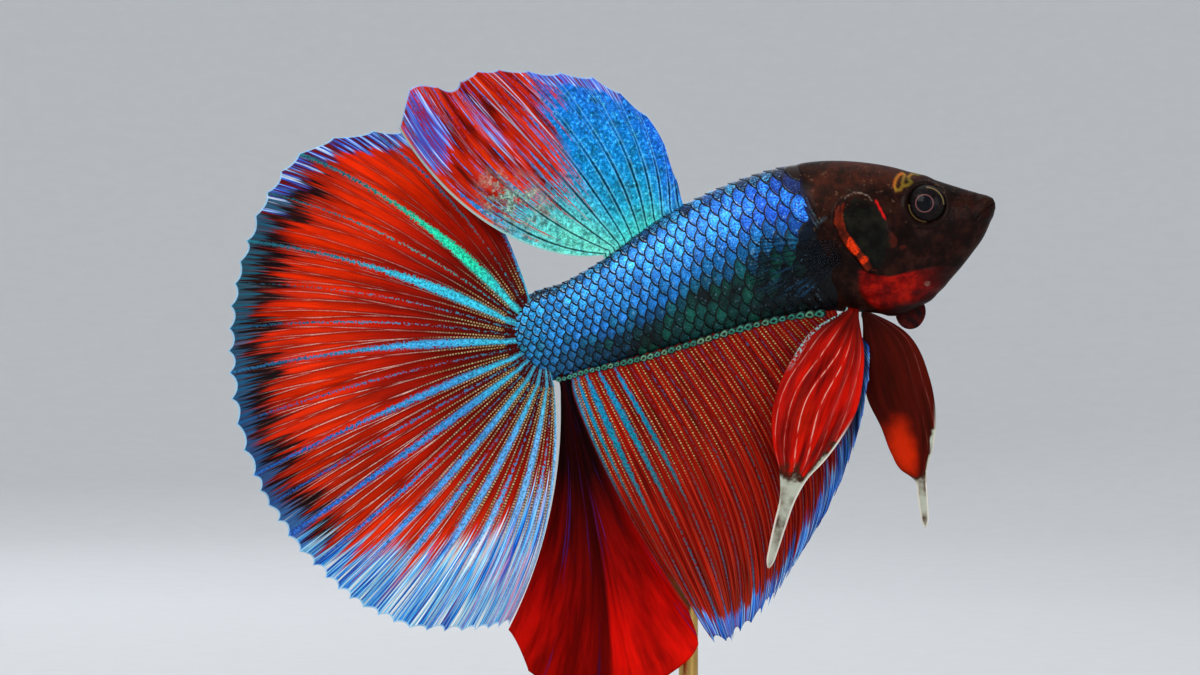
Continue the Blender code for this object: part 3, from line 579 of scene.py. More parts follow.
def scale_mesh(name, centres, half_height, roundness, side, seed, shift=0.0):
    """Joins one small closed plate for each scale, lying back along the body with its free edge lifted."""
    random = np.random.default_rng(seed)
    count, size = len(centres), SCALE_ALONG * SCALE_ACROSS
    distance, share, pitch = centres.T[..., None, None]
    half_height = half_height[:, None, None]
    span = SCALE_TIP - SCALE_FRONT
    along = np.linspace(0.0, 1.0, SCALE_ALONG)[:, None] ** 0.8
    rearward = ((SCALE_FRONT + span * along - SCALE_WIDEST) / (SCALE_TIP - SCALE_WIDEST)).clip(0.0)
    width = np.minimum(smooth(along, -0.45, 0.4), (1 - rearward) ** (1 / roundness)) + 0.02
    a, b = np.broadcast_arrays(along, np.linspace(-1.0, 1.0, SCALE_ACROSS))
    jitter = random.normal(0.0, 0.03, (count, 2))[..., None, None]
    at = distance + pitch * (SCALE_FRONT + span * a + jitter[:, 0])
    tall = half_height * width
    down = share + tall * (b + jitter[:, 1] * 0.5) / np.interp(distance, TABLE_AT, HALF_GIRTH)
    # A scale that reaches over the back goes on down the other flank
    flank = np.where(down < 0, -side, side)
    base, out, high = on_body(np.clip(at, 0, SKIN_END), np.clip(np.abs(down), 0, 1), flank)
    lift = -COAT_DEPTH + 0.02 + SCALE_LIFT * a * pitch - 0.05 * b**2 * pitch
    top = base + out * lift[..., None]
    top[..., 0] -= (at - SKIN_END).clip(0.0) * 0.96
    top = top + shift
    low = top - out * SCALE_THICKNESS

    # The underside is one flat face, joined to the upper grid by a skirt
    quads, _ = lattice(SCALE_ALONG, SCALE_ACROSS)
    edge = border(SCALE_ALONG, SCALE_ACROSS)
    below = np.arange(len(edge)) + size
    skirt = np.stack((np.roll(edge, -1), edge, below, np.roll(below, -1)), 1)
    groups = (quads, skirt, below[None, ::-1])
    if side < 0:
        groups = [group[:, ::-1] for group in groups]
    each = size + len(edge)
    points = np.concatenate((top.reshape(count, size, 3), low.reshape(count, size, 3)[:, edge]), 1)
    first = (np.arange(count) * each)[:, None, None]
    groups = [(group + first).reshape(-1, group.shape[1]) for group in groups]
    mesh = mesh_of(name, points.reshape(-1, 3), *groups)

    def per_point(field):
        field = np.broadcast_to(field, at.shape).reshape(count, size)
        return np.concatenate((field, field[:, edge]), 1).ravel()

    middle = on_map(centres[:, 0], np.where(side < 0, centres[:, 1] / 2, 1 - centres[:, 1] / 2))
    local = joined(per_point(a), per_point(b / 2 + 0.5)) - 0.5
    flat = np.repeat(middle, each, axis=0) + MAP_PATCH * local
    write_map(mesh, flat[np.concatenate([group.ravel() for group in groups])])
    beside = (1 - np.abs(b)) * tall
    reach = (SCALE_TIP - SCALE_WIDEST) * (1 - np.abs(tall * b / half_height) ** roundness)
    ahead = (SCALE_WIDEST + reach - SCALE_FRONT - span * a).clip(0.0) * pitch
    to_edge = beside * ahead / np.hypot(beside, ahead).clip(1e-6)
    own = np.repeat(random.random((count, 2)), each, axis=0)
    write_fields(mesh, body=map(per_point, (distance, high, share)), plate=map(per_point, (a, b, to_edge)),
        own=(*own.T, 0))
    mesh.set_sharp_from_angle(angle=math.radians(42))
    return mesh


def band(value, middle, outer, inner):
    """A mask with soft edges on both sides of a middle value."""
    return node("SMOOTHSTEP", ("ABSOLUTE", ("SUBTRACT", value, middle)), outer, inner)


scale_finish, tree = material("fish_scale", Roughness=0.35, Specular_IOR_Level=0.15, Coat_Weight=0.08,
    Coat_Roughness=0.1)
# Guanine crystals under clear horn: a granular metallic blue that differs a little from plate to plate,
# with a black pigment line round the free edge.
s_, _, share_ = read("body")
_, across_, edge_ = read("plate")
own_, twin_, _ = read("own")
where = node("TexCoord", out=3)
patches = clouds(5.0, 2.0)
crystals = clouds(0.16, 3.0, 0.7)
glitter = node("TexVoronoi", {"Vector": where, "Scale": 1 / (0.17 * MM)}, out=1)
tone = node("MULTIPLY", ("MapRange", crystals, 0.38, 0.62, 0.5, 1.5),
    ("MapRange", own_, 0.0, 1.0, 0.75, 1.2))
# Painted shading: each plate is darker towards its free edge and brighter in its middle, as if its dome
# caught the light.
tone = node("MULTIPLY", tone, ("MapRange", edge_, 0.1, 0.46, 0.45, 1.3))
green = node("MULTIPLY", ("MapRange", twin_, 0.6, 1.0, 0.0, 0.6), ("SMOOTHSTEP", share_, 0.4, 0.62))
colour = layered(
    flank_colour(s_, share_, patches),
    (green, "#0e5c4c"),
    (("MULTIPLY", ("MapRange", ("ADD", crystals, ("MULTIPLY", own_, 0.2)), 0.56, 0.78, 0.0, 0.6),
        ("MapRange", share_, 0.55, 0.35)), "#3cb0ea"),
    (1.0, tone, "MULTIPLY"))
# Painted sparkle: pale glitter flecks, stronger high on the flank where the light falls.
painted_glitter = node("MULTIPLY", ("SMOOTHSTEP", ("SeparateXYZ", glitter), 0.93, 0.99),
    ("SMOOTHSTEP", edge_, 0.1, 0.3))
rim_line = node("MULTIPLY", band(edge_, 0.17, 0.045, 0.015), ("SMOOTHSTEP", across_, -0.2, 0.5))
glint = node("MULTIPLY", rim_line, ("MapRange", crystals, 0.46, 0.6, 0.0, 0.8))
glint = node("MULTIPLY", glint, ("MULTIPLY", ("MapRange", share_, 0.9, 0.35, 0.55, 1.0),
    ("MapRange", s_, 18.5, 23.0, 0.15, 1.0)))
colour = layered(
    colour,
    (("MULTIPLY", painted_glitter, ("MapRange", share_, 0.72, 0.42, 0.1, 0.4)), "#a8dcff"),
    (("SMOOTHSTEP", ("ADD", s_, ("MULTIPLY", own_, 1.8)), 18.6, 17.4),
        ("ValToRGB", share_, (0.12, "#20110b"), (0.34, "#06080e"))),
    (glint, ("ValToRGB", share_, (0.38, "#b4dcff"), (0.6, "#2c9088"))),
    (("SMOOTHSTEP", edge_, 0.145, 0.085), "#020408"))
onto(Base_Color=colour, Roughness=("MapRange", crystals, 0.3, 0.7, 0.22, 0.48),
    Metallic=("MapRange", edge_, 0.06, 0.16, 0.0, 0.45),
    relief=(("ADD", crystals, ("MapRange", edge_, 0.16, 0.06, 0.0, -0.8)), 0.45, 0.06))

bead_finish, tree = material("fin_sheath_scale", Roughness=0.3, Specular_IOR_Level=0.3, Coat_Weight=0.15,
    Coat_Roughness=0.1)
# The same crystals, thin and pale green, as a bright ring round a dark middle.
along_, across_, _ = read("plate")
own_, _, _ = read("own")
crystals = clouds(0.16, 3.0, 0.7)
from_centre = node("VectorMath", ("CombineXYZ", ("MapRange", along_, 0.0, 1.0, -1.15, 0.95), across_), out=1,
    operation="LENGTH")
bright = node("MULTIPLY", band(from_centre, 0.6, 0.3, 0.12), ("MapRange", crystals, 0.38, 0.58, 0.25, 1.0))
tone = node("ValToRGB", own_, (0.0, "#2c9478"), (0.5, "#54bca8"), (1.0, "#98b46c"))
onto(Base_Color=layered("#0a201b", (bright, tone)))

row_shares = np.linspace(0.0, 0.93, ROW_COUNT)
for name, side in (("right", -1.0), ("left", 1.0)):
    # The row on the ridge of the back belongs to the right side
    ridge = 0 if side < 0 else 1
    centres = scale_centres(row_shares[ridge:], ridge)
    start = COAT_START + 1.2 + 0.5 * smooth(centres[:, 1], 0.05, 0.4) - 1.2 * smooth(centres[:, 1], 0.45, 0.7)
    centres = centres[(centres[:, 0] > start) & (centres[:, 0] < COAT_END + 0.3)]
    tall = 0.93 / (ROW_COUNT - 1) * np.interp(centres[:, 0], TABLE_AT, HALF_GIRTH) * 1.06
    coat = placed_object(f"scales_{name}", scale_mesh(f"scales_{name}", centres, tall, 2.4, side, 11),
        scale_finish)
    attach(coat, "root")
    # One row of small round scales sheathes the root of the belly fin
    steps = np.linspace(*SHEATH_STEPS, SHEATH_COUNT)
    at = SHEATH_START + np.cumsum(steps)
    pitch = steps * np.random.default_rng(13).uniform(0.66, 0.9, SHEATH_COUNT)
    low = through(BODY_SECTIONS, at, 2) - 0.16 + 0.3 * smooth(at, 33.0, 40.0)
    hang = placed(at, low, side * 0.72) - on_body(at, SHEATH_SHARE, side)[0]
    mesh = scale_mesh(f"belly_scales_{name}", joined(at, SHEATH_SHARE, pitch), pitch * 0.66, 2.2, side, 12,
        hang[:, None, None])
    coat = placed_object(f"belly_scales_{name}", mesh, bead_finish)
    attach(coat, "root")

# ------------------------------------------------------------------ eyes
# Each eye is a flattened ball behind a clear domed cornea: a dark iris with a thin gilt rim, and a round
# pupil with a pale ring, set a little back of the middle. It sits in the skin's socket.

EYE_ROWS, EYE_SECTORS = 48, 96
PUPIL_RADIUS, PUPIL_BACK, PUPIL_UP = 0.62, 0.2, 0.1

eye_finish, tree = material("eye", Roughness=0.4, Specular_IOR_Level=0.05, Coat_Weight=0.22,
    Coat_Roughness=0.03, Coat_IOR=1.34)
# Wet and glassy: near-black with a blue cast in the pupil, brown and violet in the iris, gilt at the rim.
x_, z_, _ = read("gaze")
from_pupil = node("VectorMath", ("CombineXYZ", ("ADD", x_, PUPIL_BACK), ("SUBTRACT", z_, PUPIL_UP)), out=1,
    operation="LENGTH")
from_middle = node("VectorMath", ("CombineXYZ", x_, z_), out=1, operation="LENGTH")
iris = node("ValToRGB", clouds(0.35, 4.0), (0.4, "#050305"), (0.52, "#0d0708"), (0.64, "#1c0e0c"))
crescent = node("GREATER_THAN", ("MULTIPLY", x_, z_), 0.0)
gilt = node("MULTIPLY", band(from_middle, 1.56, 0.09, 0.03), ("MULTIPLY", crescent, 0.65))
onto(Base_Color=layered(
    iris,
    (("SMOOTHSTEP", from_middle, 1.35, 1.6), "#080404"),
    (gilt, "#8c7448"),
    (band(from_pupil, 0.78, 0.08, 0.02), "#6c4446"),
    (("SMOOTHSTEP", from_pupil, PUPIL_RADIUS + 0.05, PUPIL_RADIUS - 0.03), "#04070e")))

tilt = np.linspace(0.0, math.pi / 2 + 0.35, EYE_ROWS)[1:, None]
about = np.linspace(0.0, 2 * math.pi, EYE_SECTORS, endpoint=False)[None, :]
for name, side in (("right", -1.0), ("left", 1.0)):
    x = EYE_RADIUS * 0.985 * np.sin(tilt) * np.cos(about)
    z = EYE_RADIUS * 0.985 * np.sin(tilt) * np.sin(about)
    # The lens swells the cornea over the pupil
    depth = EYE_HALF_DEPTH * np.cos(tilt)
    depth = depth + 0.1 * np.exp(-(((x + PUPIL_BACK) ** 2 + (z - PUPIL_UP) ** 2) / 0.5))
    rings = placed(EYE_AT, EYE_HEIGHT, side * EYE_OUT) + joined(x, side * depth, z)
    mesh = wrapped(f"eyeball_{name}", rings, inward=side < 0)
    write_fields(mesh, gaze=(x, z, depth))
    eyeball = placed_object(f"eyeball_{name}", mesh, eye_finish)
    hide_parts(f"eye_{name}")
    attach(eyeball, "root")

# ------------------------------------------------------------------ tail fin
# A half-moon fan of bony rays that fork again and again, with thin red membrane between them. Near the root
# a ray's joints show as rows of pale beads, and some webs carry a stripe of blue crystals out to the rim.

GAP = 0.32  # the solids of the fins start this far off the body
CAUDAL_TOP, CAUDAL_BOTTOM, CAUDAL_EDGE, CAUDAL_BULGE = 3.3, -4.75, 42.9, 2.85
# place, heading, bend, length, bow, lean, curl
CAUDAL_RAYS = (
    (0.00, 106.0, 30.0, 18.4, 0.6, 4.6, 1.0),
    (0.06, 114.0, 26.0, 19.2, 0.6, 4.2, 1.0),
    (0.12, 123.0, 26.0, 22.0, 0.5, 3.6, 1.0),
    (0.18, 131.0, 27.0, 24.0, 0.3, 2.8, 1.0),
    (0.30, 153.0, 20.0, 24.8, 0.0, 1.6, 1.0),
    (0.45, 180.0, 13.0, 25.2, -0.2, 0.0, 1.0),
    (0.58, 202.0, 6.0, 25.4, -0.4, -1.4, 1.0),
    (0.72, 228.0, -9.0, 25.4, -0.6, -2.6, 1.0),
    (0.80, 239.0, -13.0, 25.2, -0.7, -3.2, 1.0),
    (0.88, 252.0, -18.0, 24.4, -0.8, -3.8, 1.0),
    (0.95, 266.0, -26.0, 22.9, -0.9, -4.4, 1.0),
    (1.00, 277.0, -35.0, 22.0, -1.0, -5.0, 1.0),
)
CAUDAL_PLEATS = ((0.75, 3.0, 0.1), (0.3, 10.0, 0.0))  # depth, how many, phase
# place of each web in the fan, and the half width of its blue stripe near the root and at the rim
CAUDAL_WEBS = ((0.0, 0.25, 0.5), (0.09, 0.0, 0.15), (0.18, 0.55, 0.22), (0.24, 0.0, 0.08), (0.3, 0.5, 0.2),
    (0.35, 0.0, 0.0), (0.4, 0.0, 0.1), (0.45, 0.42, 0.2), (0.51, 0.0, 0.08), (0.575, 0.38, 0.2),
    (0.615, 0.05, 0.12), (0.66, 0.38, 0.3), (0.71, 0.0, 0.25), (0.76, 0.36, 0.4), (0.805, 0.0, 0.4),
    (0.85, 0.36, 0.45), (0.893, 0.0, 0.45), (0.935, 0.34, 0.5), (0.97, 0.0, 0.5), (1.0, 0.4, 0.6))
# Each fork parts a ray in two: half the distance between the branches at the root and at the rim, in webs,
# and where along the ray it opens
CAUDAL_FORKS = ((0.11, 0.25, 0.0, 0.7), (0.0, 0.125, 0.3, 0.8), (0.0, 0.0625, 0.6, 1.0))
NO_FORK = (0.0, 0.0, 0.0, 1.0)
CAUDAL_COLUMNS, CAUDAL_STEPS = 14, 130  # columns for each web
BEAD_LENGTH = 0.27


def rays(table, at, steps):
    """Offsets of a fan's rays from their roots: the same rule as for the solids."""
    heading, bend, length, bow, lean, curl = (through(table, at, column)[:, None] for column in range(1, 7))
    t = np.linspace(0.0, 1.0, steps)[None, :]
    fine = np.linspace(0.0, 1.0, 4 * (steps - 1) + 1)[None, :]
    angle = np.radians(heading + bend * fine**curl)
    step = length / (fine.size - 1)
    run = np.cumsum(np.cos(angle) * step, axis=1) - np.cos(angle[:, :1]) * step
    rise = np.cumsum(np.sin(angle) * step, axis=1) - np.sin(angle[:, :1]) * step
    sideways = bow * 4 * t * (1 - t) + lean * t * t
    return np.stack((run[:, ::4], sideways, rise[:, ::4]), axis=-1)


def fan(roots, table, at, steps, folds):
    """A fin's grid of points: its rays from their roots, with folds that deepen towards the rim."""
    t = np.linspace(0.0, 1.0, steps)[None, :]
    grid = roots[:, None, :] + rays(table, at, steps)
    for depth, count, phase in folds:
        grid[..., 1] += depth * np.sin(2 * math.pi * (count * at[:, None] + phase)) * t**1.6
    return grid


def trimmed(grid, cut, inner):
    """Shortens each ray by its cut, and starts it at its inner root, inside the body."""
    columns, steps = grid.shape[:2]
    length = np.linalg.norm(np.diff(grid, axis=1), axis=2).sum(1)
    at = np.arange(steps)[None, :] * (1 - cut / length)[:, None]
    low = np.minimum(at.astype(int), steps - 2)
    part = (at - low)[..., None]
    each = np.arange(columns)[:, None]
    return np.concatenate((inner[:, None], grid[each, low] * (1 - part) + grid[each, low + 1] * part), 1)


def closed_sheet(name, near_side, far_side):
    """A thin solid between two grids of points, with its flat layout: one half for each side."""
    rows, columns = near_side.shape[:2]
    quads, at = lattice(rows, columns)
    edge = border(rows, columns)
    after = np.roll(edge, -1)
    below = rows * columns
    skirt = np.stack((after, edge, edge + below, after + below), 1)
    faces = np.concatenate((quads, quads[:, ::-1] + below, skirt))
    points = np.concatenate((near_side.reshape(-1, 3), far_side.reshape(-1, 3)))

    def on_sheet(row, column):
        return joined(0.012 + 0.47 * row / (rows - 1), 0.012 + 0.976 * column / (columns - 1))

    near_map = on_sheet(at[..., 0], at[..., 1])
    edge_map, after_map = (on_sheet(i // columns, i % columns) for i in (edge, after))
    # The edge lies as a narrow strip round the near half
    sides = np.repeat(((-0.007, 0.0), (0.0, 0.007), (0.007, 0.0), (0.0, -0.007)),
        (columns - 1, rows - 1, columns - 1, rows - 1), axis=0)
    strip_map = np.stack((after_map, edge_map, edge_map + sides, after_map + sides), 1)
    flat = np.concatenate((near_map, near_map[:, ::-1] + (0.506, 0.0), strip_map))
    # Turned over where the faces would look inwards
    a, b, c, d = (points[faces[:, k]] for k in range(4))
    if (np.einsum("ij,ij", a, np.cross(b, c)) + np.einsum("ij,ij", a, np.cross(c, d))) < 0:
        faces, flat = faces[:, ::-1], flat[:, ::-1]
    mesh = mesh_of(name, points, faces)
    write_map(mesh, flat.reshape(-1, 2))
    return mesh


def fin(name, grid, web, forks, body, ridge, swell, ripple=0.1):
    """A fin's mesh over its grid, with each ray raised, and the lengths that its material reads.

    web counts the webs across the fan, body is half the membrane's thickness, and swell that of the root."""
    columns, steps = grid.shape[:2]
    reach = np.concatenate(([0.0], np.linspace(0.0, 1.0, steps - 1)))[None, :] + np.zeros((columns, 1))
    grid = grid.copy()
    grid[..., 1] += ripple * np.cos(2 * math.pi * web)[:, None] * smooth(reach, 0.1, 1.0)
    stride = np.linalg.norm(np.diff(grid[:, 1:], axis=1), axis=2)
    from_root = np.concatenate((np.zeros((columns, 2)), np.cumsum(stride, 1)), 1)
    to_rim = from_root[:, -1:] - from_root
    spread = np.linalg.norm(np.gradient(grid, axis=0), axis=2) / np.gradient(web)[:, None]
    opened = [a + (b - a) * smooth(reach, start, end) for a, b, start, end in forks]
    gap = np.abs(web % 1.0 - 0.5)[:, None]
    for part in opened:
        gap = np.abs(gap - part)
    raised = np.exp(-((gap * spread / 0.13) ** 2)) * smooth(to_rim, 0.0, 2.0)
    thick = (body + ridge * raised) * (0.3 + 0.7 * smooth(to_rim, 0.0, 0.6))
    thick = thick + swell * np.exp(-from_root / 1.3)
    out = np.cross(np.gradient(grid, axis=0), np.gradient(grid, axis=1))
    out /= np.linalg.norm(out, axis=-1, keepdims=True).clip(1e-9)
    offset = out * thick[..., None]
    mesh = closed_sheet(name, grid + offset, grid - offset)
    write_fields(mesh, rays=(web[:, None], reach, spread), forks=opened)
    return mesh, reach, from_root, to_rim


def ray_gaps(web, spread):
    """Distances in mm from the nearest ray and the nearest web's middle, and a flag that tells twin rays."""
    from_web = node("PINGPONG", web, 0.5)
    gap = node("SUBTRACT", 0.5, from_web)
    for fork in read("forks"):
        gap = node("ABSOLUTE", ("SUBTRACT", gap, fork))
    twin = node("GREATER_THAN", ("FRACT", web), 0.5)
    return node("MULTIPLY", gap, spread), node("MULTIPLY", from_web, spread), twin


def streaks(per_web, per_mm):
    """Soft streaks along the rays, about this many across each web and along each millimetre."""
    place = ("CombineXYZ", ("MULTIPLY", web_, per_web), ("MULTIPLY", root_, per_mm))
    return node("TexNoise", {"Vector": place, "Scale": 1.0, "Detail": 3.0, "Roughness": 0.6})


def bead_rows(twin, ray_gap, share):
    """Rows of beads along the rays: (where they are, how bright), for the given share of beads."""
    phase = node("ADD", ("MULTIPLY", root_, 1 / BEAD_LENGTH), ("MULTIPLY", twin, 0.5))
    bright = node("SMOOTHSTEP", ("PINGPONG", phase, 0.5), 0.1, 0.36)
    there = node("MULTIPLY", ("SMOOTHSTEP", ray_gap, 0.09, 0.04), ("MapRange", root_, 0.0, 0.2))
    return node("MULTIPLY", there, share), bright


def caudal_root(at, clear):
    """Root line of the tail fin, around the rounded end of the tail stalk."""
    middle, half = (CAUDAL_TOP + CAUDAL_BOTTOM) / 2, (CAUDAL_TOP - CAUDAL_BOTTOM) / 2
    turn = math.pi * (0.5 - at)
    behind_snout = CAUDAL_EDGE + (CAUDAL_BULGE + clear) * np.cos(turn)
    return placed(behind_snout, middle + (half + clear) * np.sin(turn), 0.0)


def scallops(web, per_web, depth, seed):
    """How far each point of the rim draws in between the ray tips."""
    random = np.random.default_rng(seed)
    tips = int(web[-1] * per_web) + 2
    own = np.interp(web * per_web, np.arange(tips), random.uniform(0.45, 1.25, tips))
    return depth * own * np.abs(np.sin(math.pi * web * per_web)) ** 0.75


web_place, root_half, rim_half = np.array(CAUDAL_WEBS).T
web = np.linspace(0.0, len(CAUDAL_WEBS) - 1, (len(CAUDAL_WEBS) - 1) * CAUDAL_COLUMNS + 1)
at = np.interp(web, np.arange(len(CAUDAL_WEBS)), web_place)
grid = fan(caudal_root(at, GAP), CAUDAL_RAYS, at, CAUDAL_STEPS, CAUDAL_PLEATS)
grid = trimmed(grid, scallops(web, 2.0, 0.55, 3), caudal_root(at, -2.2))
mesh, reach, from_root, to_rim = fin("tail_fin", grid, web, CAUDAL_FORKS, 0.05, 0.05, 0.42)
u = at[:, None]
nearest = np.rint(web).astype(int)[:, None]
half = root_half[nearest] + (rim_half - root_half)[nearest] * smooth(reach, 0.22, 0.62)
half = half * (0.75 + 0.25 * smooth(reach, 0.0, 0.15)) + 0.5 * rim_half[nearest] * smooth(to_rim, 2.2, 0.0)
smoke = smooth(to_rim, 7.5, 1.0) * smooth(u, 0.12, 0.24) * smooth(u, 0.82, 0.66)
start = np.interp(u, (0.6, 0.72, 0.85, 0.93, 1.0), (0.9, 0.74, 0.54, 0.36, 0.24))
pale = smooth(reach, start - 0.08, start + 0.34) * smooth(u, 0.58, 0.74)
# Painted shade: a darker patch below the middle of the fan, two thirds of the way out, and a deeper red
# towards the root.
root_red_and_painted_shade = 0.8 * spot(u, reach, (0.64, 0.68), (0.1, 0.24), 0.9) + 0.7 * smooth(reach, 0.3, 0.05)
upper = smooth(u, 0.32, 0.18) * smooth(to_rim, 4.2, 0.5)
lilac = smooth(u, 0.86, 0.97) * smooth(reach, 0.35, 0.6)
bead_end = np.interp(u, (0.0, 0.2, 0.45, 0.7, 0.85, 1.0), (0.1, 0.14, 0.22, 0.36, 0.52, 0.6))
strength = np.interp(u, (0.0, 0.15, 0.3, 0.5, 0.7, 1.0), (0.12, 0.15, 0.3, 0.85, 1.0, 1.0))
strength = strength * smooth(reach, 1.0, 0.7) * smooth(reach, 0.03, 0.14)
write_fields(mesh, span=(u, from_root, to_rim), tints=(smoke, pale, root_red_and_painted_shade), rims=(upper, lilac, 0),
    lines=(0.85 * smooth(reach, bead_end + 0.14, bead_end - 0.08), strength, half))

tail_finish, tree = material("tail_fin_membrane", Roughness=0.5, Specular_IOR_Level=0.03)
# Thin wet skin on fine bone: deep red at the root, bright red beyond, smoky at the rim and icy blue below.
u_, root_, rim_ = read("span")
web_, reach_, spread_ = read("rays")
smoke_, pale_, root_red_and_painted_shade_ = read("tints")
upper_, lilac_, _ = read("rims")
beads_, line_, stripe_ = read("lines")
ray_gap, web_gap, twin = ray_gaps(web_, spread_)
crystals = clouds(0.2, 3.0, 0.7)
broad = streaks(4.0, 0.12)
fine = streaks(16.0, 0.1)
flame = streaks(9.0, 0.07)
red = node("ValToRGB", reach_, (0.0, "#420602"), (0.2, "#700a02"), (0.42, "#a81401"), (0.7, "#e42a00"),
    (0.86, "#dc2600"), (1.0, "#c42000"))
red = layered(red, (1.0, ("MapRange", broad, 0.38, 0.62, 0.62, 1.12), "MULTIPLY"))
inner = node("ValToRGB", u_, (0.0, "#3f86c8"), (0.12, "#2a8a80"), (0.18, "#28dcac"), (0.24, "#34ccc4"),
    (0.3, "#3cc4e4"), (0.45, "#40a8e0"), (0.66, "#3c90d4"), (0.85, "#54a4e4"), (1.0, "#78c4fc"))
inner = layered(inner, (("MapRange", reach_, 0.22, 0.06, 0.0, 0.75), "#3cc0dc"))
outer = node("ValToRGB", u_, (0.0, "#6a90f0"), (0.15, "#1c6a74"), (0.3, "#256c80"), (0.45, "#24628c"),
    (0.57, "#2464b4"), (0.68, "#2870d4"), (0.78, "#3c94ec"), (0.9, "#7cc4ff"), (1.0, "#78c0fc"))
stripe = layered(
    inner,
    (("SMOOTHSTEP", reach_, 0.35, 0.8), outer),
    (1.0, ("MapRange", crystals, 0.38, 0.62, 0.4, 1.5), "MULTIPLY"))
ragged = node("ADD", ("MapRange", crystals, 0.38, 0.62, -0.16, 0.2), web_gap)
in_stripe = node("SMOOTHSTEP", ("SUBTRACT", ragged, stripe_), 0.05, -0.08)
smoky = worn(smoke_, flame, 0.4, 0.42, 0.85)
icy = node("ValToRGB", fine, (0.4, "#0644b0"), (0.45, "#128cf8"), (0.5, "#48beff"), (0.55, "#b4ecff"),
    (0.62, "#ffffff"))
icy = layered(icy, (("MULTIPLY", lilac_, ("SMOOTHSTEP", broad, 0.52, 0.62)), "#d8a8dc"))
in_ice = worn(pale_, flame, 0.4, 0.42, 0.75)
upper_blue = node("ValToRGB", fine, (0.4, "#701008"), (0.46, "#3c1848"), (0.52, "#2c5cd4"), (0.58, "#84b8fc"),
    (0.64, "#dcecff"))
in_upper = worn(upper_, flame, 0.4, 0.45, 0.7)
rim_fan = worn(("MapRange", rim_, 3.4, 0.2), fine, 0.4, 0.45, 0.8)
rim_hue = node("ValToRGB", u_, (0.2, "#2a5c80"), (0.35, "#1c6074"), (0.56, "#1c5890"), (0.8, "#4c9cec"))
on_ray = node("SMOOTHSTEP", ray_gap, 0.06, 0.015)
broken = node("MULTIPLY", ("SMOOTHSTEP", streaks(22.0, 0.22), 0.42, 0.6),
    ("MapRange", crystals, 0.35, 0.6, 0.4, 1.0))
bead_there, bead_bright = bead_rows(twin, ray_gap, beads_)
bead_bright = node("MULTIPLY", bead_bright, ("MapRange", crystals, 0.35, 0.65, 0.2, 1.1))
bead = node("ValToRGB", bead_bright, (0.0, "#4a1e10"), (0.6, "#a88a50"), (1.0, "#e8d8a8"))
colour = layered(
    red,
    # painted shade patch, and the deeper red by the root
    (("MULTIPLY", root_red_and_painted_shade_, 0.6), "#4a0705"),
    (smoky, "#100a0c"),
    (("MULTIPLY", rim_fan, 0.8), rim_hue),
    (in_upper, upper_blue),
    (in_ice, icy),
    (("MULTIPLY", in_stripe, ("MapRange", in_ice, 0.0, 1.0, 1.0, 0.15)), stripe),
    # painted shadow: thin darker red along either side of each ray
    (("MULTIPLY", ("SMOOTHSTEP", ray_gap, 0.24, 0.1), 0.35), "#3c0605"),
    (("MULTIPLY", ("MULTIPLY", on_ray, line_), broken), "#f4c8bc"),
    (bead_there, bead),
    (("MULTIPLY", ("SMOOTHSTEP", rim_, 0.2, 0.07), 0.85), "#a8dcff"))
onto(Base_Color=colour, Roughness=("MapRange", in_stripe, 0.0, 1.0, 0.45, 0.32),
    relief=(("ADD", ("MULTIPLY", on_ray, 1.5), crystals), 0.4, 0.06))
tail_fin = placed_object("tail_fin", mesh, tail_finish)
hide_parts("caudal_fin_upper", "caudal_fin_lower")
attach(tail_fin, "root")

# ------------------------------------------------------------------ back fin
# A fan on the back with a short base, swept rearwards until its last rays curl down over the tail stalk. Its
# membrane is a sheet of blue crystals, parted by a dozen dark rays, and bare and red behind the middle.

DORSAL_FRONT, DORSAL_BACK = 27.2, 35.4
DORSAL_RAYS = (
    (0.00, 106.0, 0.0, 2.2, 0.0, 0.0, 1.0),
    (0.12, 92.0, 12.0, 6.2, 0.0, -0.2, 1.0),
    (0.25, 92.0, 26.0, 10.4, 0.1, -0.2, 1.0),
    (0.40, 97.0, 30.0, 14.2, 0.3, 0.1, 1.0),
    (0.55, 106.0, 30.0, 16.8, 0.3, 0.6, 1.0),
    (0.70, 118.0, 20.0, 19.5, 0.0, 0.6, 1.0),
    (0.80, 129.0, 5.0, 20.5, -0.4, -0.9, 1.0),
    (0.88, 148.0, -24.0, 21.0, -0.7, 0.7, 1.0),
    (0.94, 165.0, -46.0, 23.6, -1.0, -2.6, 0.8),
    (1.00, 196.0, -76.0, 22.9, -1.2, -1.3, 0.6),
)
DORSAL_PLEATS = ((0.22, 9.0, 0.0),)
DORSAL_WEBS = (0.0, 0.1, 0.2, 0.3, 0.4, 0.5, 0.6, 0.69, 0.77, 0.84, 0.9, 0.95, 1.0)
DORSAL_FORKS = ((0.0, 0.13, 0.6, 1.0), NO_FORK, NO_FORK)
DORSAL_COLUMNS, DORSAL_STEPS = 16, 110


def ridge_root(behind_snout, column, clear):
    """Root line of a fin along the back (column 1) or the belly (column 2)."""
    return placed(behind_snout, through(BODY_SECTIONS, behind_snout, column) + clear, 0.0)


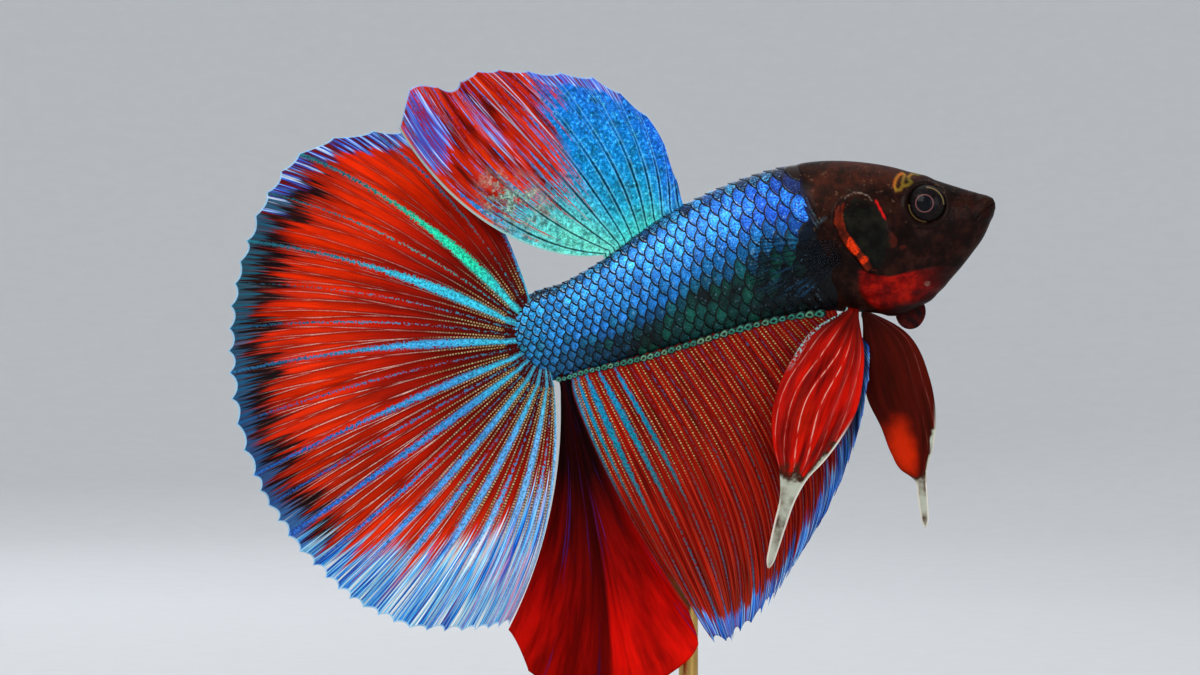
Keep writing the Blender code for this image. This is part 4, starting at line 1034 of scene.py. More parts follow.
web = np.linspace(0.0, len(DORSAL_WEBS) - 1, (len(DORSAL_WEBS) - 1) * DORSAL_COLUMNS + 1)
at = np.interp(web, np.arange(len(DORSAL_WEBS)), DORSAL_WEBS)
along = DORSAL_FRONT + (DORSAL_BACK - DORSAL_FRONT) * at
grid = fan(ridge_root(along, 1, GAP), DORSAL_RAYS, at, DORSAL_STEPS, DORSAL_PLEATS)
cut = scallops(web, 1.0, 0.5, 8) * smooth(at, 0.02, 0.15)
grid = trimmed(grid, cut, ridge_root(along, 1, -0.9))
mesh, reach, from_root, to_rim = fin("back_fin", grid, web, DORSAL_FORKS, 0.05, 0.05, 0.3, ripple=0.07)
u = at[:, None]
start = np.interp(u, (0.3, 0.42, 0.5, 0.57, 0.62, 0.68, 0.74, 0.8, 0.9, 1.0),
    (1.5, 1.3, 1.12, 0.98, 0.84, 0.64, 0.47, 0.36, 0.34, 0.44))
bare = smooth(reach, start - 0.28, start + 0.28)
strong = np.interp(web, (0, 5.6, 6, 6.4, 6.7, 7, 7.4, 7.8, 8.2, 8.7, 9, 9.4, 12),
    (0.15, 0.15, 1, 1, 0.1, 0.8, 1, 0.15, 0.1, 0.6, 0.6, 0.1, 0.1))
pleat = np.maximum(0.55 * spot(u, reach, (0.86, 0.8), (0.03, 0.3), 0.8),
    spot(u, reach, (0.965, 0.86), (0.05, 0.22), 0.7))
speckle = spot(u, reach, (0.93, 0.42), (0.09, 0.2), 0.8)
lilac = 0.85 * smooth(to_rim, 2.4, 0.3) * smooth(u, 0.25, 0.36) * smooth(u, 0.66, 0.56)
write_fields(mesh, span=(u, from_root, to_rim), tints=(bare, pleat, speckle),
    rims=(lilac, strong[:, None], 0))

back_finish, tree = material("back_fin_membrane", Roughness=0.45, Specular_IOR_Level=0.04)
# Granular blue like ground glass, mint at the root, deep blue in front, thinning in grains over wet red skin.
u_, root_, rim_ = read("span")
web_, reach_, spread_ = read("rays")
bare_, pleat_, speckle_ = read("tints")
lilac_, strong_, _ = read("rims")
ray_gap, _, _ = ray_gaps(web_, spread_)
crystals = clouds(0.3, 4.0, 0.8)
clumps = clouds(1.1, 4.0, 0.7)
broad = streaks(3.0, 0.14)
fine = streaks(11.0, 0.12)
blue = node("ValToRGB", reach_, (0.0, "#40d0c8"), (0.15, "#1ca4d0"), (0.4, "#108cd8"), (0.75, "#1880e4"),
    (1.0, "#2068e0"))
blue = layered(
    blue,
    (("MULTIPLY", ("SMOOTHSTEP", u_, 0.4, 0.1), 0.7), "#1f62e6"),
    (("MULTIPLY", ("SMOOTHSTEP", u_, 0.7, 0.95), ("SMOOTHSTEP", reach_, 0.6, 0.1)), "#6ee4cc"),
    (("MULTIPLY", ("SMOOTHSTEP", clumps, 0.48, 0.62), 0.6), "#0c5460"),
    (("MULTIPLY", ("SMOOTHSTEP", crystals, 0.56, 0.66), 0.55), "#5ce0f4"),
    (1.0, ("MapRange", crystals, 0.38, 0.62, 0.4, 1.5), "MULTIPLY"))
red = node("ValToRGB", broad, (0.36, "#5c0a02"), (0.5, "#b81c02"), (0.64, "#e03404"))
grains = node("MULTIPLY", ("ADD", crystals, ("ADD", fine, fine)), 1 / 3)
in_red = node("MULTIPLY", worn(bare_, grains, 0.75, 0.5, 0.68), ("SMOOTHSTEP", bare_, 0.02, 0.12))
fold = node("ValToRGB", fine, (0.4, "#8c1008"), (0.5, "#3450c0"), (0.57, "#6c8cf0"), (0.64, "#c4d4ff"))
rim_lilac = node("ValToRGB", fine, (0.42, "#8c1c20"), (0.49, "#3c58dc"), (0.56, "#6c9cf8"), (0.62, "#c4d8ff"))
sparse = node("ValToRGB", crystals, (0.38, "#6a2414"), (0.5, "#5f9a8c"), (0.66, "#c8ead8"))
dark_width = node("MapRange", reach_, 0.0, 0.3, 0.06, 0.09)
on_ray = node("SMOOTHSTEP", ("SUBTRACT", ray_gap, dark_width), 0.03, -0.04)
thin_ray = node("SMOOTHSTEP", ray_gap, 0.085, 0.03)
beside = band(ray_gap, ("ADD", dark_width, 0.1), 0.07, 0.02)
colour = layered(
    blue,
    (in_red, red),
    (("SMOOTHSTEP", ("ADD", lilac_, fine), 0.8, 1.1), rim_lilac),
    (worn(pleat_, fine, 0.5, 0.45, 0.75), fold),
    (("MULTIPLY", speckle_, ("SMOOTHSTEP", clumps, 0.42, 0.58)), sparse),
    (("MULTIPLY", beside, ("MapRange", in_red, 0.0, 0.6, 0.28, 0.0)), "#8fe8f8"),
    (("MULTIPLY", on_ray, ("MapRange", reach_, 0.75, 0.3, 0.1, 0.9)), "#06141c"),
    (("MULTIPLY", ("MULTIPLY", thin_ray, ("MapRange", reach_, 0.3, 0.45)), ("MULTIPLY", strong_, in_red)),
        "#bcdcff"),
    (("MULTIPLY", ("SMOOTHSTEP", u_, 0.992, 0.998), 0.85), "#a4dcd4"),
    (("MULTIPLY", ("SMOOTHSTEP", rim_, 0.2, 0.06), 0.8), "#9cccff"))
onto(Base_Color=colour, Roughness=("MapRange", in_red, 0.0, 1.0, 0.34, 0.44),
    relief=(("ADD", crystals, on_ray), 0.4, 0.06))
back_fin = placed_object("back_fin", mesh, back_finish)
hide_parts("dorsal_fin")
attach(back_fin, "root")

# ------------------------------------------------------------------ belly fin
# The longest fin, from behind the throat to the tail stalk. Its many rays sweep forward at their tips, and at
# its rear it folds back on itself behind a crest, so that the hind lobe hangs on the left side.

ANAL_ROOTS = ((0.0, 16.4), (0.2, 22.9), (0.4, 29.4), (0.6, 35.8), (0.74, 40.3), (0.8, 41.2), (1.0, 42.3))
ANAL_RAYS = (
    (0.00, -38.0, -20.0, 4.0, 0.0, 0.2, 2.0),
    (0.05, -41.0, -46.0, 8.2, 0.1, 0.4, 2.0),
    (0.12, -46.0, -60.0, 13.8, 0.0, 0.5, 2.0),
    (0.24, -52.0, -74.0, 22.0, -0.2, 0.2, 2.0),
    (0.36, -54.0, -62.0, 24.6, -0.5, -0.4, 2.0),
    (0.47, -55.0, -48.0, 25.6, -0.8, -1.2, 2.0),
    (0.58, -58.0, -36.0, 26.6, -1.0, -1.8, 2.0),
    (0.69, -62.0, -6.0, 26.6, -1.0, -2.2, 1.4),
    (0.76, -73.0, 17.0, 25.7, -1.0, -2.2, 0.6),
    (0.80, -78.0, 23.0, 23.2, -0.9, -1.6, 0.5),
    (0.84, -80.0, 22.0, 27.8, 0.9, 1.8, 0.6),
    (0.88, -76.0, -6.0, 28.6, 1.1, 3.6, 1.6),
    (0.92, -78.0, -24.0, 28.8, 1.2, 4.8, 1.8),
    (0.96, -82.0, -30.0, 27.8, 1.2, 5.0, 1.4),
    (1.00, -87.0, -30.0, 23.2, 1.2, 4.2, 1.0),
)
ANAL_PLEATS = ((0.3, 9.0, 0.0),)
ANAL_CREST, FRONT_WEBS, HIND_WEBS = 0.8, 20, 7
ANAL_FORKS = ((0.16, 0.2, 0.0, 0.7), (0.0, 0.1, 0.55, 1.0), (0.0, 0.04, 0.8, 1.0))
ANAL_COLUMNS, ANAL_STEPS = 12, 120

web = np.linspace(0.0, FRONT_WEBS + HIND_WEBS, (FRONT_WEBS + HIND_WEBS) * ANAL_COLUMNS + 1)
at = np.interp(web, (0, FRONT_WEBS, FRONT_WEBS + HIND_WEBS), (0.0, ANAL_CREST, 1.0))
along = through(ANAL_ROOTS, at, 1)
grid = fan(ridge_root(along, 2, -GAP), ANAL_RAYS, at, ANAL_STEPS, ANAL_PLEATS)
frayed = smooth(at, 0.06, 0.2) * smooth(at, 0.52, 0.36)
cut = scallops(web, 1.0, 0.7, 21) + frayed * scallops(web, 2.0, 1.6, 22)
cut = cut * smooth(at, 0.0, 0.06) * np.where(at > ANAL_CREST, 0.5, 1.0)
grid = trimmed(grid, cut, ridge_root(along, 2, 0.9))
mesh, reach, from_root, to_rim = fin("belly_fin", grid, web, ANAL_FORKS, 0.05, 0.05, 0.32, ripple=0.09)
u = at[:, None]
hind = smooth(u, ANAL_CREST - 0.008, ANAL_CREST + 0.012)
blue_tip = smooth(u, 0.5, 0.36) * smooth(reach, np.interp(u, (0.0, 0.2, 0.5), (0.5, 0.58, 0.9)), 1.0)
blue_tip = np.maximum(blue_tip, smooth(u, 0.79, 0.7) * smooth(to_rim, 3.6, 0.5))
own = np.random.default_rng(24).uniform(0.5, 1.0, FRONT_WEBS + HIND_WEBS + 1)
own = own[np.rint(web).astype(int)][:, None]
teal_web = smooth(u, 0.6, 0.64) * smooth(reach, 0.35 + 0.45 * own, 0.2) * (1 - hind)
half = (0.06 + 0.1 * smooth(u, 0.3, 0.1)) * smooth(reach, 0.25, 0.5) + 0.12 * smooth(reach, 0.6, 0.95)
half = half + 0.46 * own * teal_web * smooth(reach, -0.1, 0.12)
# Painted shade: the front part of the fin, away from its root and rim, is painted near black to dark blue as
# if in shadow.
shade = smooth(u, 0.24, 0.12) * smooth(reach, 0.12, 0.3) * smooth(reach, 1.0, 0.86)
tip_gold = spot(u, reach, (0.785, 0.95), (0.03, 0.14), 0.8)
write_fields(mesh, span=(u, from_root, to_rim), tints=(hind, blue_tip, teal_web),
    rims=(tip_gold, smooth(u, 0.34, 0.12) * smooth(reach, 0.08, 0.2), shade),
    lines=(smooth(reach, 0.5, 0.32) * (1 - hind), 1 - hind, half))

belly_finish, tree = material("belly_fin_membrane", Roughness=0.5, Specular_IOR_Level=0.03)
# Brick red membrane with grey-blue web lines, twin rows of gilt beads by the body and blue frayed tips in
# front. The hind lobe is plain wet scarlet, almost black at its root.
u_, root_, _ = read("span")
web_, reach_, spread_ = read("rays")
hind_, tip_, teal_ = read("tints")
gilt_, front_, painted_shade_ = read("rims")
beads_, line_, stripe_ = read("lines")
ray_gap, web_gap, twin = ray_gaps(web_, spread_)
crystals = clouds(0.2, 3.0, 0.7)
broad = streaks(2.2, 0.1)
fine = streaks(9.0, 0.12)
red = node("ValToRGB", fine, (0.38, "#500501"), (0.5, "#880c01"), (0.64, "#b81a02"))
scarlet = node("ValToRGB", reach_, (0.0, "#0c0103"), (0.3, "#280304"), (0.5, "#7c0603"), (0.8, "#d80c05"),
    (1.0, "#f41408"))
# Painted shade of the hind lobe's folds: broad streaks along the rays make it darker and lighter, and a dark
# band is painted in its crease.
painted_crease_shade = node("MULTIPLY", ("SMOOTHSTEP", u_, 0.892, 0.899), ("MapRange", u_, 0.98, 0.91, 0.0, 0.8))
scarlet = layered(
    scarlet,
    (1.0, ("MapRange", broad, 0.38, 0.62, 0.45, 1.2), "MULTIPLY"),
    (("MULTIPLY", ("SMOOTHSTEP", streaks(3.1, 0.05), 0.6, 0.66), 0.6), "#4a2c90"),
    (painted_crease_shade, "#2c0201"))
web_line = node("ValToRGB", reach_, (0.0, "#1c94dc"), (0.25, "#10788c"), (0.5, "#445c60"), (1.0, "#3c6c94"))
web_line = layered(
    web_line,
    (("MULTIPLY", teal_, 0.5), "#14809c"),
    (tip_, "#2488fc"),
    (("MULTIPLY", front_, 0.9), "#9870b4"),
    (1.0, ("MapRange", crystals, 0.38, 0.62, 0.45, 1.5), "MULTIPLY"))
ragged = node("ADD", ("MapRange", crystals, 0.38, 0.62, -0.13, 0.13), web_gap)
in_stripe = node("SMOOTHSTEP", ("SUBTRACT", ragged, stripe_), 0.04, -0.06)
in_stripe = node("MULTIPLY", in_stripe, ("MULTIPLY", line_,
    ("MapRange", ("ADD", streaks(1.3, 0.12), ("ADD", teal_, tip_)), 0.42, 0.6, 0.25, 1.0)))
tips = node("ValToRGB", streaks(12.0, 0.12), (0.42, "#020c28"), (0.48, "#0c5cdc"), (0.55, "#34a0ff"),
    (0.62, "#b8e8ff"))
in_tips = worn(tip_, broad, 0.4, 0.42, 0.75)
uneven = node("MapRange", streaks(3.0, 0.5), 0.4, 0.55, 0.4, 1.0)
bead_there, bead_bright = bead_rows(twin, ray_gap, ("MULTIPLY", beads_, uneven))
bead_bright = node("MULTIPLY", bead_bright, ("MapRange", crystals, 0.38, 0.62, 0.2, 1.2))
bead = node("ValToRGB", bead_bright, (0.0, "#5c160a"), (0.6, "#9c8048"), (1.0, "#dcc890"))
on_ray = node("SMOOTHSTEP", ray_gap, 0.1, 0.03)
colour = layered(
    red,
    (("MULTIPLY", ("SMOOTHSTEP", ray_gap, 0.1, 0.3), 0.45), "#5c0a06"),
    (in_stripe, web_line),
    (in_tips, tips),
    # painted highlight: a faint pale line along each ray
    (("MULTIPLY", ("MULTIPLY", on_ray, line_), 0.14), "#c86850"),
    (bead_there, bead),
    # painted shade over the front of the fin
    (("MULTIPLY", painted_shade_, 0.9), ("ValToRGB", fine, (0.42, "#04060c"), (0.62, "#12304c"))),
    (gilt_, "#6a4a24"),
    (hind_, scarlet))
onto(Base_Color=colour, relief=(("ADD", crystals, ("ADD", on_ray, bead_there)), 0.4, 0.06))
belly_fin = placed_object("belly_fin", mesh, belly_finish)
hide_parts("anal_fin_front", "anal_fin_hind_lobe")
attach(belly_fin, "root")

# ------------------------------------------------------------------ breast fins
# Two fins like rowing blades behind the gill covers, folded back along the flanks: clear as film, with fine
# dark rays that fork once.

PECTORAL_ROOT = (15.3, -0.3)
PECTORAL_ROOT_HALF = 1.1
PECTORAL_RAYS = (
    (0.0, 175.0, 6.0, 6.6, 0.3, 1.6, 1.0),
    (0.5, 199.0, 2.0, 8.2, 0.3, 1.9, 1.0),
    (1.0, 226.0, -4.0, 6.0, 0.3, 1.6, 1.0),
)
PECTORAL_WEBS, PECTORAL_COLUMNS, PECTORAL_STEPS = 11, 8, 60
PECTORAL_FORKS = ((0.0, 0.24, 0.3, 1.0), NO_FORK, NO_FORK)

clear_finish, tree = material("clear_fin_membrane", Roughness=0.5, Specular_IOR_Level=0.04)
# Clear as wet film: what shows is the dark rays, and a blue gleam on some of them.
web_, reach_, spread_ = read("rays")
_, root_, rim_ = read("span")
ray_gap, _, _ = ray_gaps(web_, spread_)
on_ray = node("SMOOTHSTEP", ray_gap, 0.11, 0.03)
gleam = node("MULTIPLY", ("SMOOTHSTEP", streaks(1.0, 0.4), 0.46, 0.6), ("SMOOTHSTEP", reach_, 0.3, 0.6))
colour = layered(
    "#101c26",
    (("MULTIPLY", on_ray, gleam), "#143c5a"),
    (("MULTIPLY", on_ray, ("SUBTRACT", 1.0, gleam)), "#0a1016"))
cover = node("ADD", ("MULTIPLY", on_ray, 0.45), ("MapRange", rim_, 0.0, 0.3, 0.1, 0.03))
onto(Base_Color=colour, Alpha=cover)

web = np.linspace(0.0, PECTORAL_WEBS, PECTORAL_WEBS * PECTORAL_COLUMNS + 1)
at = web / PECTORAL_WEBS
height = PECTORAL_ROOT[1] + PECTORAL_ROOT_HALF * (1 - 2 * at)
high, wide = outline(PECTORAL_ROOT[0], turns, 1.0)
flank = np.interp(height, high[::-1], wide[::-1])
for name, side in (("right", -1.0), ("left", 1.0)):
    offsets = rays(PECTORAL_RAYS, at, PECTORAL_STEPS)
    offsets[..., 1] *= side
    grid = placed(PECTORAL_ROOT[0], height, side * (flank + 0.5))[:, None] + offsets
    inner = placed(PECTORAL_ROOT[0] - 0.5, height, side * (flank - 0.5))
    grid = trimmed(grid, scallops(web, 1.0, 0.2, 31), inner)
    mesh, _, from_root, to_rim = fin(f"breast_fin_{name}", grid, web, PECTORAL_FORKS, 0.03, 0.04, 0.12,
        ripple=0.06)
    write_fields(mesh, span=(at[:, None], from_root, to_rim))
    breast_fin = placed_object(f"breast_fin_{name}", mesh, clear_finish)
    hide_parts(f"pectoral_fin_{name}")
    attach(breast_fin, "root")

# ------------------------------------------------------------------ throat fins
# A pair of leaf-shaped red fins under the throat. Each is cupped round a few thin pale rays and runs out
# into a stiff bare filament with a white margin. The left one is swung forward, turned from the light.

# distance behind the snout, heading, bend, length, bow, lean, curl
PELVIC_SPINES = {
    "right": (14.95, -114.0, 10.0, 24.2, -1.9, -2.4, 1.0),
    "left": (13.9, -50.0, -36.0, 20.4, 1.0, 1.4, 0.5),
}
PELVIC_ROOT_OUT = 0.75
# share of the length, and the blade's half widths ahead of the spine and behind it
PELVIC_BLADES = {
    "right": ((0.0, 0.4, 0.9), (0.12, 2.2, 3.1), (0.22, 3.0, 3.7), (0.33, 3.4, 4.0), (0.46, 2.9, 3.7),
              (0.56, 2.1, 2.7), (0.64, 1.2, 1.5), (0.72, 0.75, 0.8), (0.84, 0.55, 0.56), (0.93, 0.44, 0.44),
              (0.98, 0.3, 0.3), (1.0, 0.1, 0.1)),
    "left": ((0.0, 0.4, 0.4), (0.16, 2.5, 2.1), (0.36, 2.9, 3.1), (0.52, 2.5, 2.6), (0.65, 1.7, 2.2),
             (0.73, 0.9, 1.6), (0.78, 0.6, 0.6), (0.86, 0.46, 0.46), (0.93, 0.4, 0.4),
             (0.98, 0.28, 0.28), (1.0, 0.1, 0.1)),
}
PELVIC_WEBS, PELVIC_COLUMNS, PELVIC_STEPS = 6, 14, 150

throat_finish, tree = material("throat_fin_membrane", Roughness=0.4, Specular_IOR_Level=0.03,
    Coat_Weight=0.02, Coat_Roughness=0.12)
# Wet and satiny: blood red between thin pinkish rays, silver-brown low down, bone white at the margin.
_, root_, _ = read("span")
web_, reach_, spread_ = read("rays")
turned_away_shade_, patch_, silver_ = read("tints")
edge_, streak_, line_ = read("rims")
sway = node("TexNoise", {"Vector": ("CombineXYZ", ("MULTIPLY", web_, 0.2), ("MULTIPLY", root_, 0.09)),
    "Scale": 1.0, "Detail": 0.0})
bent = node("ADD", web_, ("MapRange", sway, 0.3, 0.7, -0.6, 0.6))
ray_gap, _, _ = ray_gaps(bent, spread_)
mottle = clouds(1.6, 4.0)
grain = clouds(0.2, 3.0)
broad = streaks(0.9, 0.1)
red = node("ValToRGB", broad, (0.38, "#600301"), (0.5, "#980801"), (0.62, "#cc1001"))
shaded = node("ValToRGB", broad, (0.35, "#300601"), (0.65, "#500c03"))
silver = node("ValToRGB", mottle, (0.38, "#6c6254"), (0.48, "#959484"), (0.6, "#b4b8a8"))
on_ray = node("SMOOTHSTEP", ray_gap, 0.07, 0.02)
broken = node("SMOOTHSTEP", streaks(7.0, 0.5), 0.38, 0.56)
colour = layered(
    red,
    # painted shade: the left fin, turned from the light, is painted darker red all over
    (turned_away_shade_, shaded),
    (worn(patch_, mottle, 0.1, 0.12, 1.0), "#cc2602"),
    (("MULTIPLY", ("SMOOTHSTEP", reach_, 0.15, 0.02), 0.7), "#2c0602"),
    # painted highlight: brighter red along the rays
    (("MULTIPLY", ("SMOOTHSTEP", ray_gap, 0.3, 0.1), ("MULTIPLY", line_, 0.35)), "#d01404"),
    (("MULTIPLY", ("MULTIPLY", on_ray, broken), line_), "#e89c8c"),
    (("MULTIPLY", streak_, ("SMOOTHSTEP", grain, 0.45, 0.55)), "#8ab4b4"),
    (worn(silver_, mottle, 0.28, 0.3, 0.55), "#3c1c10"),
    (worn(silver_, mottle, 0.3, 0.55, 0.9), silver),
    (edge_, "#e4ded0"))
onto(Base_Color=colour, relief=(("ADD", grain, on_ray), 0.2, 0.05))

web = np.linspace(0.0, PELVIC_WEBS, PELVIC_WEBS * PELVIC_COLUMNS + 1)
across = 2 * web / PELVIC_WEBS - 1
for name, side in (("right", -1.0), ("left", 1.0)):
    back, *spine = PELVIC_SPINES[name]
    line = rays(((0.0, *spine), (1.0, *spine)), np.zeros(1), PELVIC_STEPS)[0]
    root = placed(back, float(through(BODY_SECTIONS, back, 2)) - 0.2, side * PELVIC_ROOT_OUT)
    t = np.linspace(0.0, 1.0, PELVIC_STEPS)
    ahead, behind = (through(PELVIC_BLADES[name], t, column) for column in (1, 2))
    run = np.gradient(line, axis=0)
    run /= np.linalg.norm(run, axis=1, keepdims=True)
    forward = np.stack((-run[:, 2], 0 * t, run[:, 0]), axis=-1)
    width = np.where(across[:, None] > 0, ahead, behind) * across[:, None]
    grid = root + line + forward * width[..., None]
    # The blade is cupped, with soft folds along its rays
    folds = 0.02 * np.cos(2 * math.pi * web)[:, None] * smooth(t, 0.02, 0.3) * smooth(t, 0.75, 0.6)
    grid[..., 1] += side * (0.12 * width ** 2 / 3 - folds)
    inner = grid[:, 0] + (0.0, -0.6 * side, 0.9)
    grid = trimmed(grid, 0 * web, inner)
    t = np.concatenate(([0.0], t))
    slim = 0.05 + 0.13 * (1 - across[:, None] ** 2) * smooth(t, 0.55, 0.75)
    mesh, reach, from_root, to_rim = fin(f"throat_fin_{name}", grid, web, [NO_FORK] * 3, slim, 0.02, 0.2,
        ripple=0.0)
    u = across[:, None]
    to_margin = (1 - np.abs(u)) * np.where(u > 0, np.append(ahead[0], ahead), np.append(behind[0], behind))
    if side < 0:
        silver = np.maximum(smooth(reach, 0.56, 0.72), smooth(u, 0.6, 0.9) * smooth(reach, 0.42, 0.6))
        patch, turned_away_shade = 0.4 * spot(u, reach, (-0.3, 0.42), (0.6, 0.2), 0.9), 0.0
        edge = smooth(to_margin, 0.22, 0.06) * np.maximum(smooth(reach, 0.7, 0.8),
            smooth(u, 0, 0.5) * smooth(reach, 0.35, 0.5))
        streak = smooth(u, -0.86, -0.93) * smooth(reach, 0.3, 0.2)
        line = smooth(reach, 0.68, 0.5) * smooth(reach, 0.05, 0.18)
        line = line * np.interp(web, (0.0, 1.0, 2.0, 3.0, 3.9, 4.2, 6.0),
            (0.6, 0.6, 1.0, 1.0, 0.8, 0.1, 0.35))[:, None]
    else:
        silver = np.maximum(smooth(reach, 0.72, 0.8), smooth(u, 0.6, 0.9) * smooth(reach, 0.5, 0.64))
        patch, turned_away_shade = spot(u, reach, (-0.5, 0.64), (1.15, 0.26), 1.0), 1.0
        edge = smooth(to_margin, 0.2, 0.06) * np.maximum(smooth(reach, 0.76, 0.82),
            0.6 * smooth(u, 0, 0.5) * smooth(reach, 0.45, 0.6))
        streak, line = 0.0, 0.1 * smooth(u, 0.3, 0.9)
    write_fields(mesh, span=(u, from_root, to_rim), tints=(turned_away_shade, patch, silver), rims=(edge, streak, line))
    throat_fin = placed_object(f"throat_fin_{name}", mesh, throat_finish)
    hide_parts(f"pelvic_fin_{name}")
    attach(throat_fin, "root")

# ------------------------------------------------------------------ gill membrane
# A free lobe of soft red skin that hangs under the throat from the left gill cover. It is thin at its lower
# edge, and its top runs up inside the skin, which holds it.

LOBE_MIDDLE, LOBE_HALF, LOBE_OUT = 9.9, 1.4, 1.0
# How far it starts above the belly line, how far it drops at its ends, and how much more between them
LOBE_TUCK, LOBE_ENDS, LOBE_DROP = 0.7, 1.1, 1.3
LOBE_THICKNESS, LOBE_EDGE = 0.16, 0.04
across = np.linspace(-1.0, 1.0, 61)[:, None]
down = np.linspace(0.0, 1.0, 31)[None, :]
behind_snout = LOBE_MIDDLE + LOBE_HALF * across
top = through(BODY_SECTIONS, behind_snout, 2) + LOBE_TUCK
drop = LOBE_ENDS + LOBE_DROP * np.sqrt((1 - across**2).clip(0.0))
out = LOBE_OUT - 0.25 * down ** 2 + 0.05 * np.sin(7 * across) * down
grid = placed(behind_snout, top - drop * down, out)
thick = LOBE_THICKNESS * (1 - down**4) * (1 - across**4) + LOBE_EDGE
offset = thick[..., None] * (0, 1, 0)
mesh = closed_sheet("gill_membrane", grid + offset, grid - offset)
lobe_finish, tree = material("gill_membrane", Roughness=0.5, Specular_IOR_Level=0.08)
# Soft wet skin, dark red with darker veins.
onto(Base_Color=("ValToRGB", clouds(0.7, 4.0), (0.38, "#140201"), (0.64, "#480602")))
gill_lobe = placed_object("gill_lobe", mesh, lobe_finish)
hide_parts("gill_membrane_left")
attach(gill_lobe, "root")

# ------------------------------------------------------------------ stand
# A stained wood plinth with a softened edge, a turned brass collar on it, and a brass rod that rises behind
# the fish and bends forward into its left flank.

BASE_LENGTH, BASE_WIDTH, BASE_HEIGHT = 60.0, 38.0, 6.0
BASE_CORNER, BASE_BEVEL = 6.0, 1.0
ROD_RADIUS, ROD_BEND_RADIUS = 0.9, 5.5
ROD_X, ROD_Y = 7.0, 9.6
ROD_SINK, ROD_IN_BODY, ROD_HEIGHT = 3.0, 1.1, 0.9
COLLAR_RADIUS, COLLAR_HEIGHT = 2.6, 1.4
BASE_SECTORS, ROD_SECTORS, COLLAR_SECTORS = 96, 32, 64

wood_finish, tree = material("stained_wood", Roughness=0.38, Coat_Weight=0.25, Coat_Roughness=0.3)
# Close-grained hardwood stained dark, with long fibres, slow bands of growth and fine open pores under a wax.
where = node("TexCoord", out=3)
stretched = node("Mapping", {"Vector": where, "Scale": (0.09, 1.0, 1.0)})
growth = node("TexNoise", {"Vector": stretched, "Scale": 1 / (3.4 * MM), "Detail": 3.0, "Distortion": 0.6})
fibre = node("TexNoise", {"Vector": stretched, "Scale": 1 / (0.5 * MM), "Detail": 5.0, "Roughness": 0.7})
pores = node("TexNoise", {"Vector": node("Mapping", {"Vector": where, "Scale": (0.16, 1.0, 1.0)}),
    "Scale": 1 / (0.28 * MM), "Detail": 1.0})
bands = node("PINGPONG", ("MULTIPLY", growth, 7.0), 0.5)
tone = node("ADD", ("MULTIPLY", bands, 1.2), ("MULTIPLY", fibre, 0.6))
wood = node("ValToRGB", tone, (0.25, "#2a1710"), (0.55, "#46291c"), (0.85, "#6b4230"))
pore = node("SMOOTHSTEP", pores, 0.66, 0.72)
onto(Base_Color=layered(wood, (("MULTIPLY", pore, 0.7), "#180c08")),
    Roughness=("MapRange", fibre, 0.3, 0.7, 0.34, 0.5), relief=(("SUBTRACT", fibre, pore), 0.3, 0.1))

turn = np.linspace(0.0, 2 * math.pi, BASE_SECTORS, endpoint=False)
quarter = np.minimum((turn // (math.pi / 2)).astype(int), 3)
corner_x = (BASE_LENGTH / 2 - BASE_CORNER) * np.array((1, -1, -1, 1))[quarter]
corner_y = (BASE_WIDTH / 2 - BASE_CORNER) * np.array((1, 1, -1, -1))[quarter]
bevel = np.linspace(0.0, math.pi / 2, 9)
profile = [(0.0, 0.4), (0.12, 0.12), (0.4, 0.0), (2.6, 0.0)]
profile += [(BASE_HEIGHT - BASE_BEVEL * (1 - math.sin(a)), BASE_BEVEL * (1 - math.cos(a))) for a in bevel]
profile += [(BASE_HEIGHT, 3.0)]
height, inset = np.array(profile).T[..., None]
reach = BASE_CORNER - inset
rings = joined(corner_x + reach * np.cos(turn), corner_y + reach * np.sin(turn), height)
plinth = placed_object("plinth", wrapped("plinth", rings), wood_finish)
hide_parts("stand_base")
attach(plinth, "root")

brass_finish, tree = material("brushed_brass", Roughness=0.3, Metallic=1.0)
# Lacquered brass, drawn and lightly brushed: fine lines round the rod and the collar, and an uneven shine.
where = node("TexCoord", out=3)
brushing = node("TexNoise", {"Vector": node("Mapping", {"Vector": where, "Scale": (1.0, 1.0, 0.05)}),
    "Scale": 1 / (0.15 * MM), "Detail": 3.0})
onto(Base_Color=("ValToRGB", clouds(3.0, 2.0), (0.3, "#b08a48"), (0.7, "#c9a460")),
    Roughness=("MapRange", brushing, 0.3, 0.7, 0.22, 0.4))

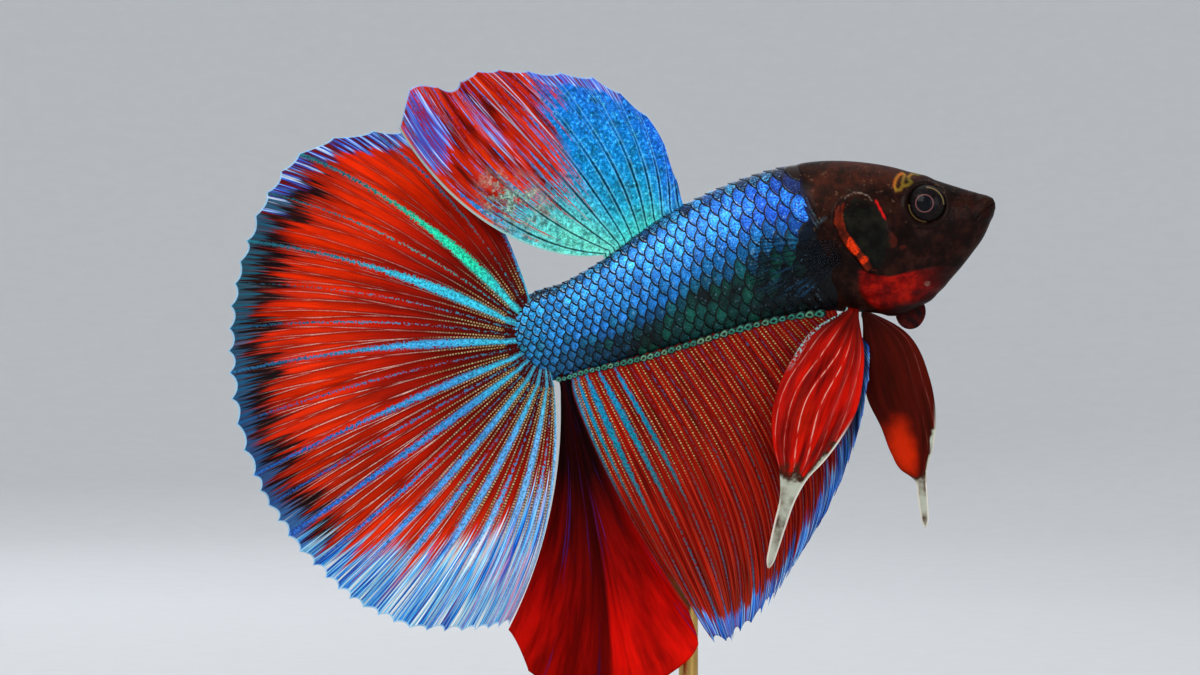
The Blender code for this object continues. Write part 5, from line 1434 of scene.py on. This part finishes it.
# The collar's profile closes on itself: out from the rod along the plinth, then up and back over the top
profile = [(ROD_RADIUS + 0.04, BASE_HEIGHT - 0.3), (COLLAR_RADIUS, BASE_HEIGHT - 0.3)]
profile += [(COLLAR_RADIUS, BASE_HEIGHT + 0.35), (COLLAR_RADIUS - 0.12, BASE_HEIGHT + 0.42)]
profile += [(COLLAR_RADIUS - 0.12, BASE_HEIGHT + 0.55)]
for turn in np.linspace(0.0, math.pi / 2, 9):
    height = BASE_HEIGHT + 0.6 + (COLLAR_HEIGHT - 0.3) * math.sin(turn)
    profile += [(COLLAR_RADIUS - 0.9 + 0.75 * math.cos(turn), height)]
profile += [(ROD_RADIUS + 0.14, BASE_HEIGHT + 0.3 + COLLAR_HEIGHT)]
profile += [(ROD_RADIUS + 0.04, BASE_HEIGHT + 0.2 + COLLAR_HEIGHT)]
points = lathed(profile, COLLAR_SECTORS, ROD_X, ROD_Y).reshape(-1, 3)
quads, _ = lattice(len(profile) + 1, COLLAR_SECTORS, closed=True)
collar = placed_object("collar", mesh_of("collar", points, quads % len(points)), brass_finish)
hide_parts("stand_collar")

pitch = math.radians(BODY_PITCH)
along = (SNOUT_X - ROD_X - ROD_HEIGHT * math.sin(pitch)) / math.cos(pitch)
level = float(placed(along, ROD_HEIGHT, 0.0)[2])
high, wide = outline(along, turns, 1.0)
flank = float(np.interp(ROD_HEIGHT, high[::-1], wide[::-1])) + float(placed(along, 0.0, 0.0)[1])
bend = np.linspace(0.0, math.pi / 2, 25)
upright = np.linspace(BASE_HEIGHT - ROD_SINK, level - ROD_BEND_RADIUS, 12)[:-1]
centre_y = np.concatenate((ROD_Y + 0 * upright, ROD_Y - ROD_BEND_RADIUS * (1 - np.cos(bend)),
    [flank - ROD_IN_BODY]))
centre_z = np.concatenate((upright, level - ROD_BEND_RADIUS * (1 - np.sin(bend)), [level]))
tangent = np.concatenate((0 * upright, bend, [math.pi / 2]))[:, None]
turn = np.linspace(0.0, 2 * math.pi, ROD_SECTORS, endpoint=False)
rings = joined(ROD_X + ROD_RADIUS * np.cos(turn),
    centre_y[:, None] + ROD_RADIUS * np.sin(turn) * np.cos(tangent),
    centre_z[:, None] + ROD_RADIUS * np.sin(turn) * np.sin(tangent))
rod = placed_object("rod", wrapped("rod", rings), brass_finish)
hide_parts("stand_rod")
for piece in (collar, rod):
    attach(piece, "root")
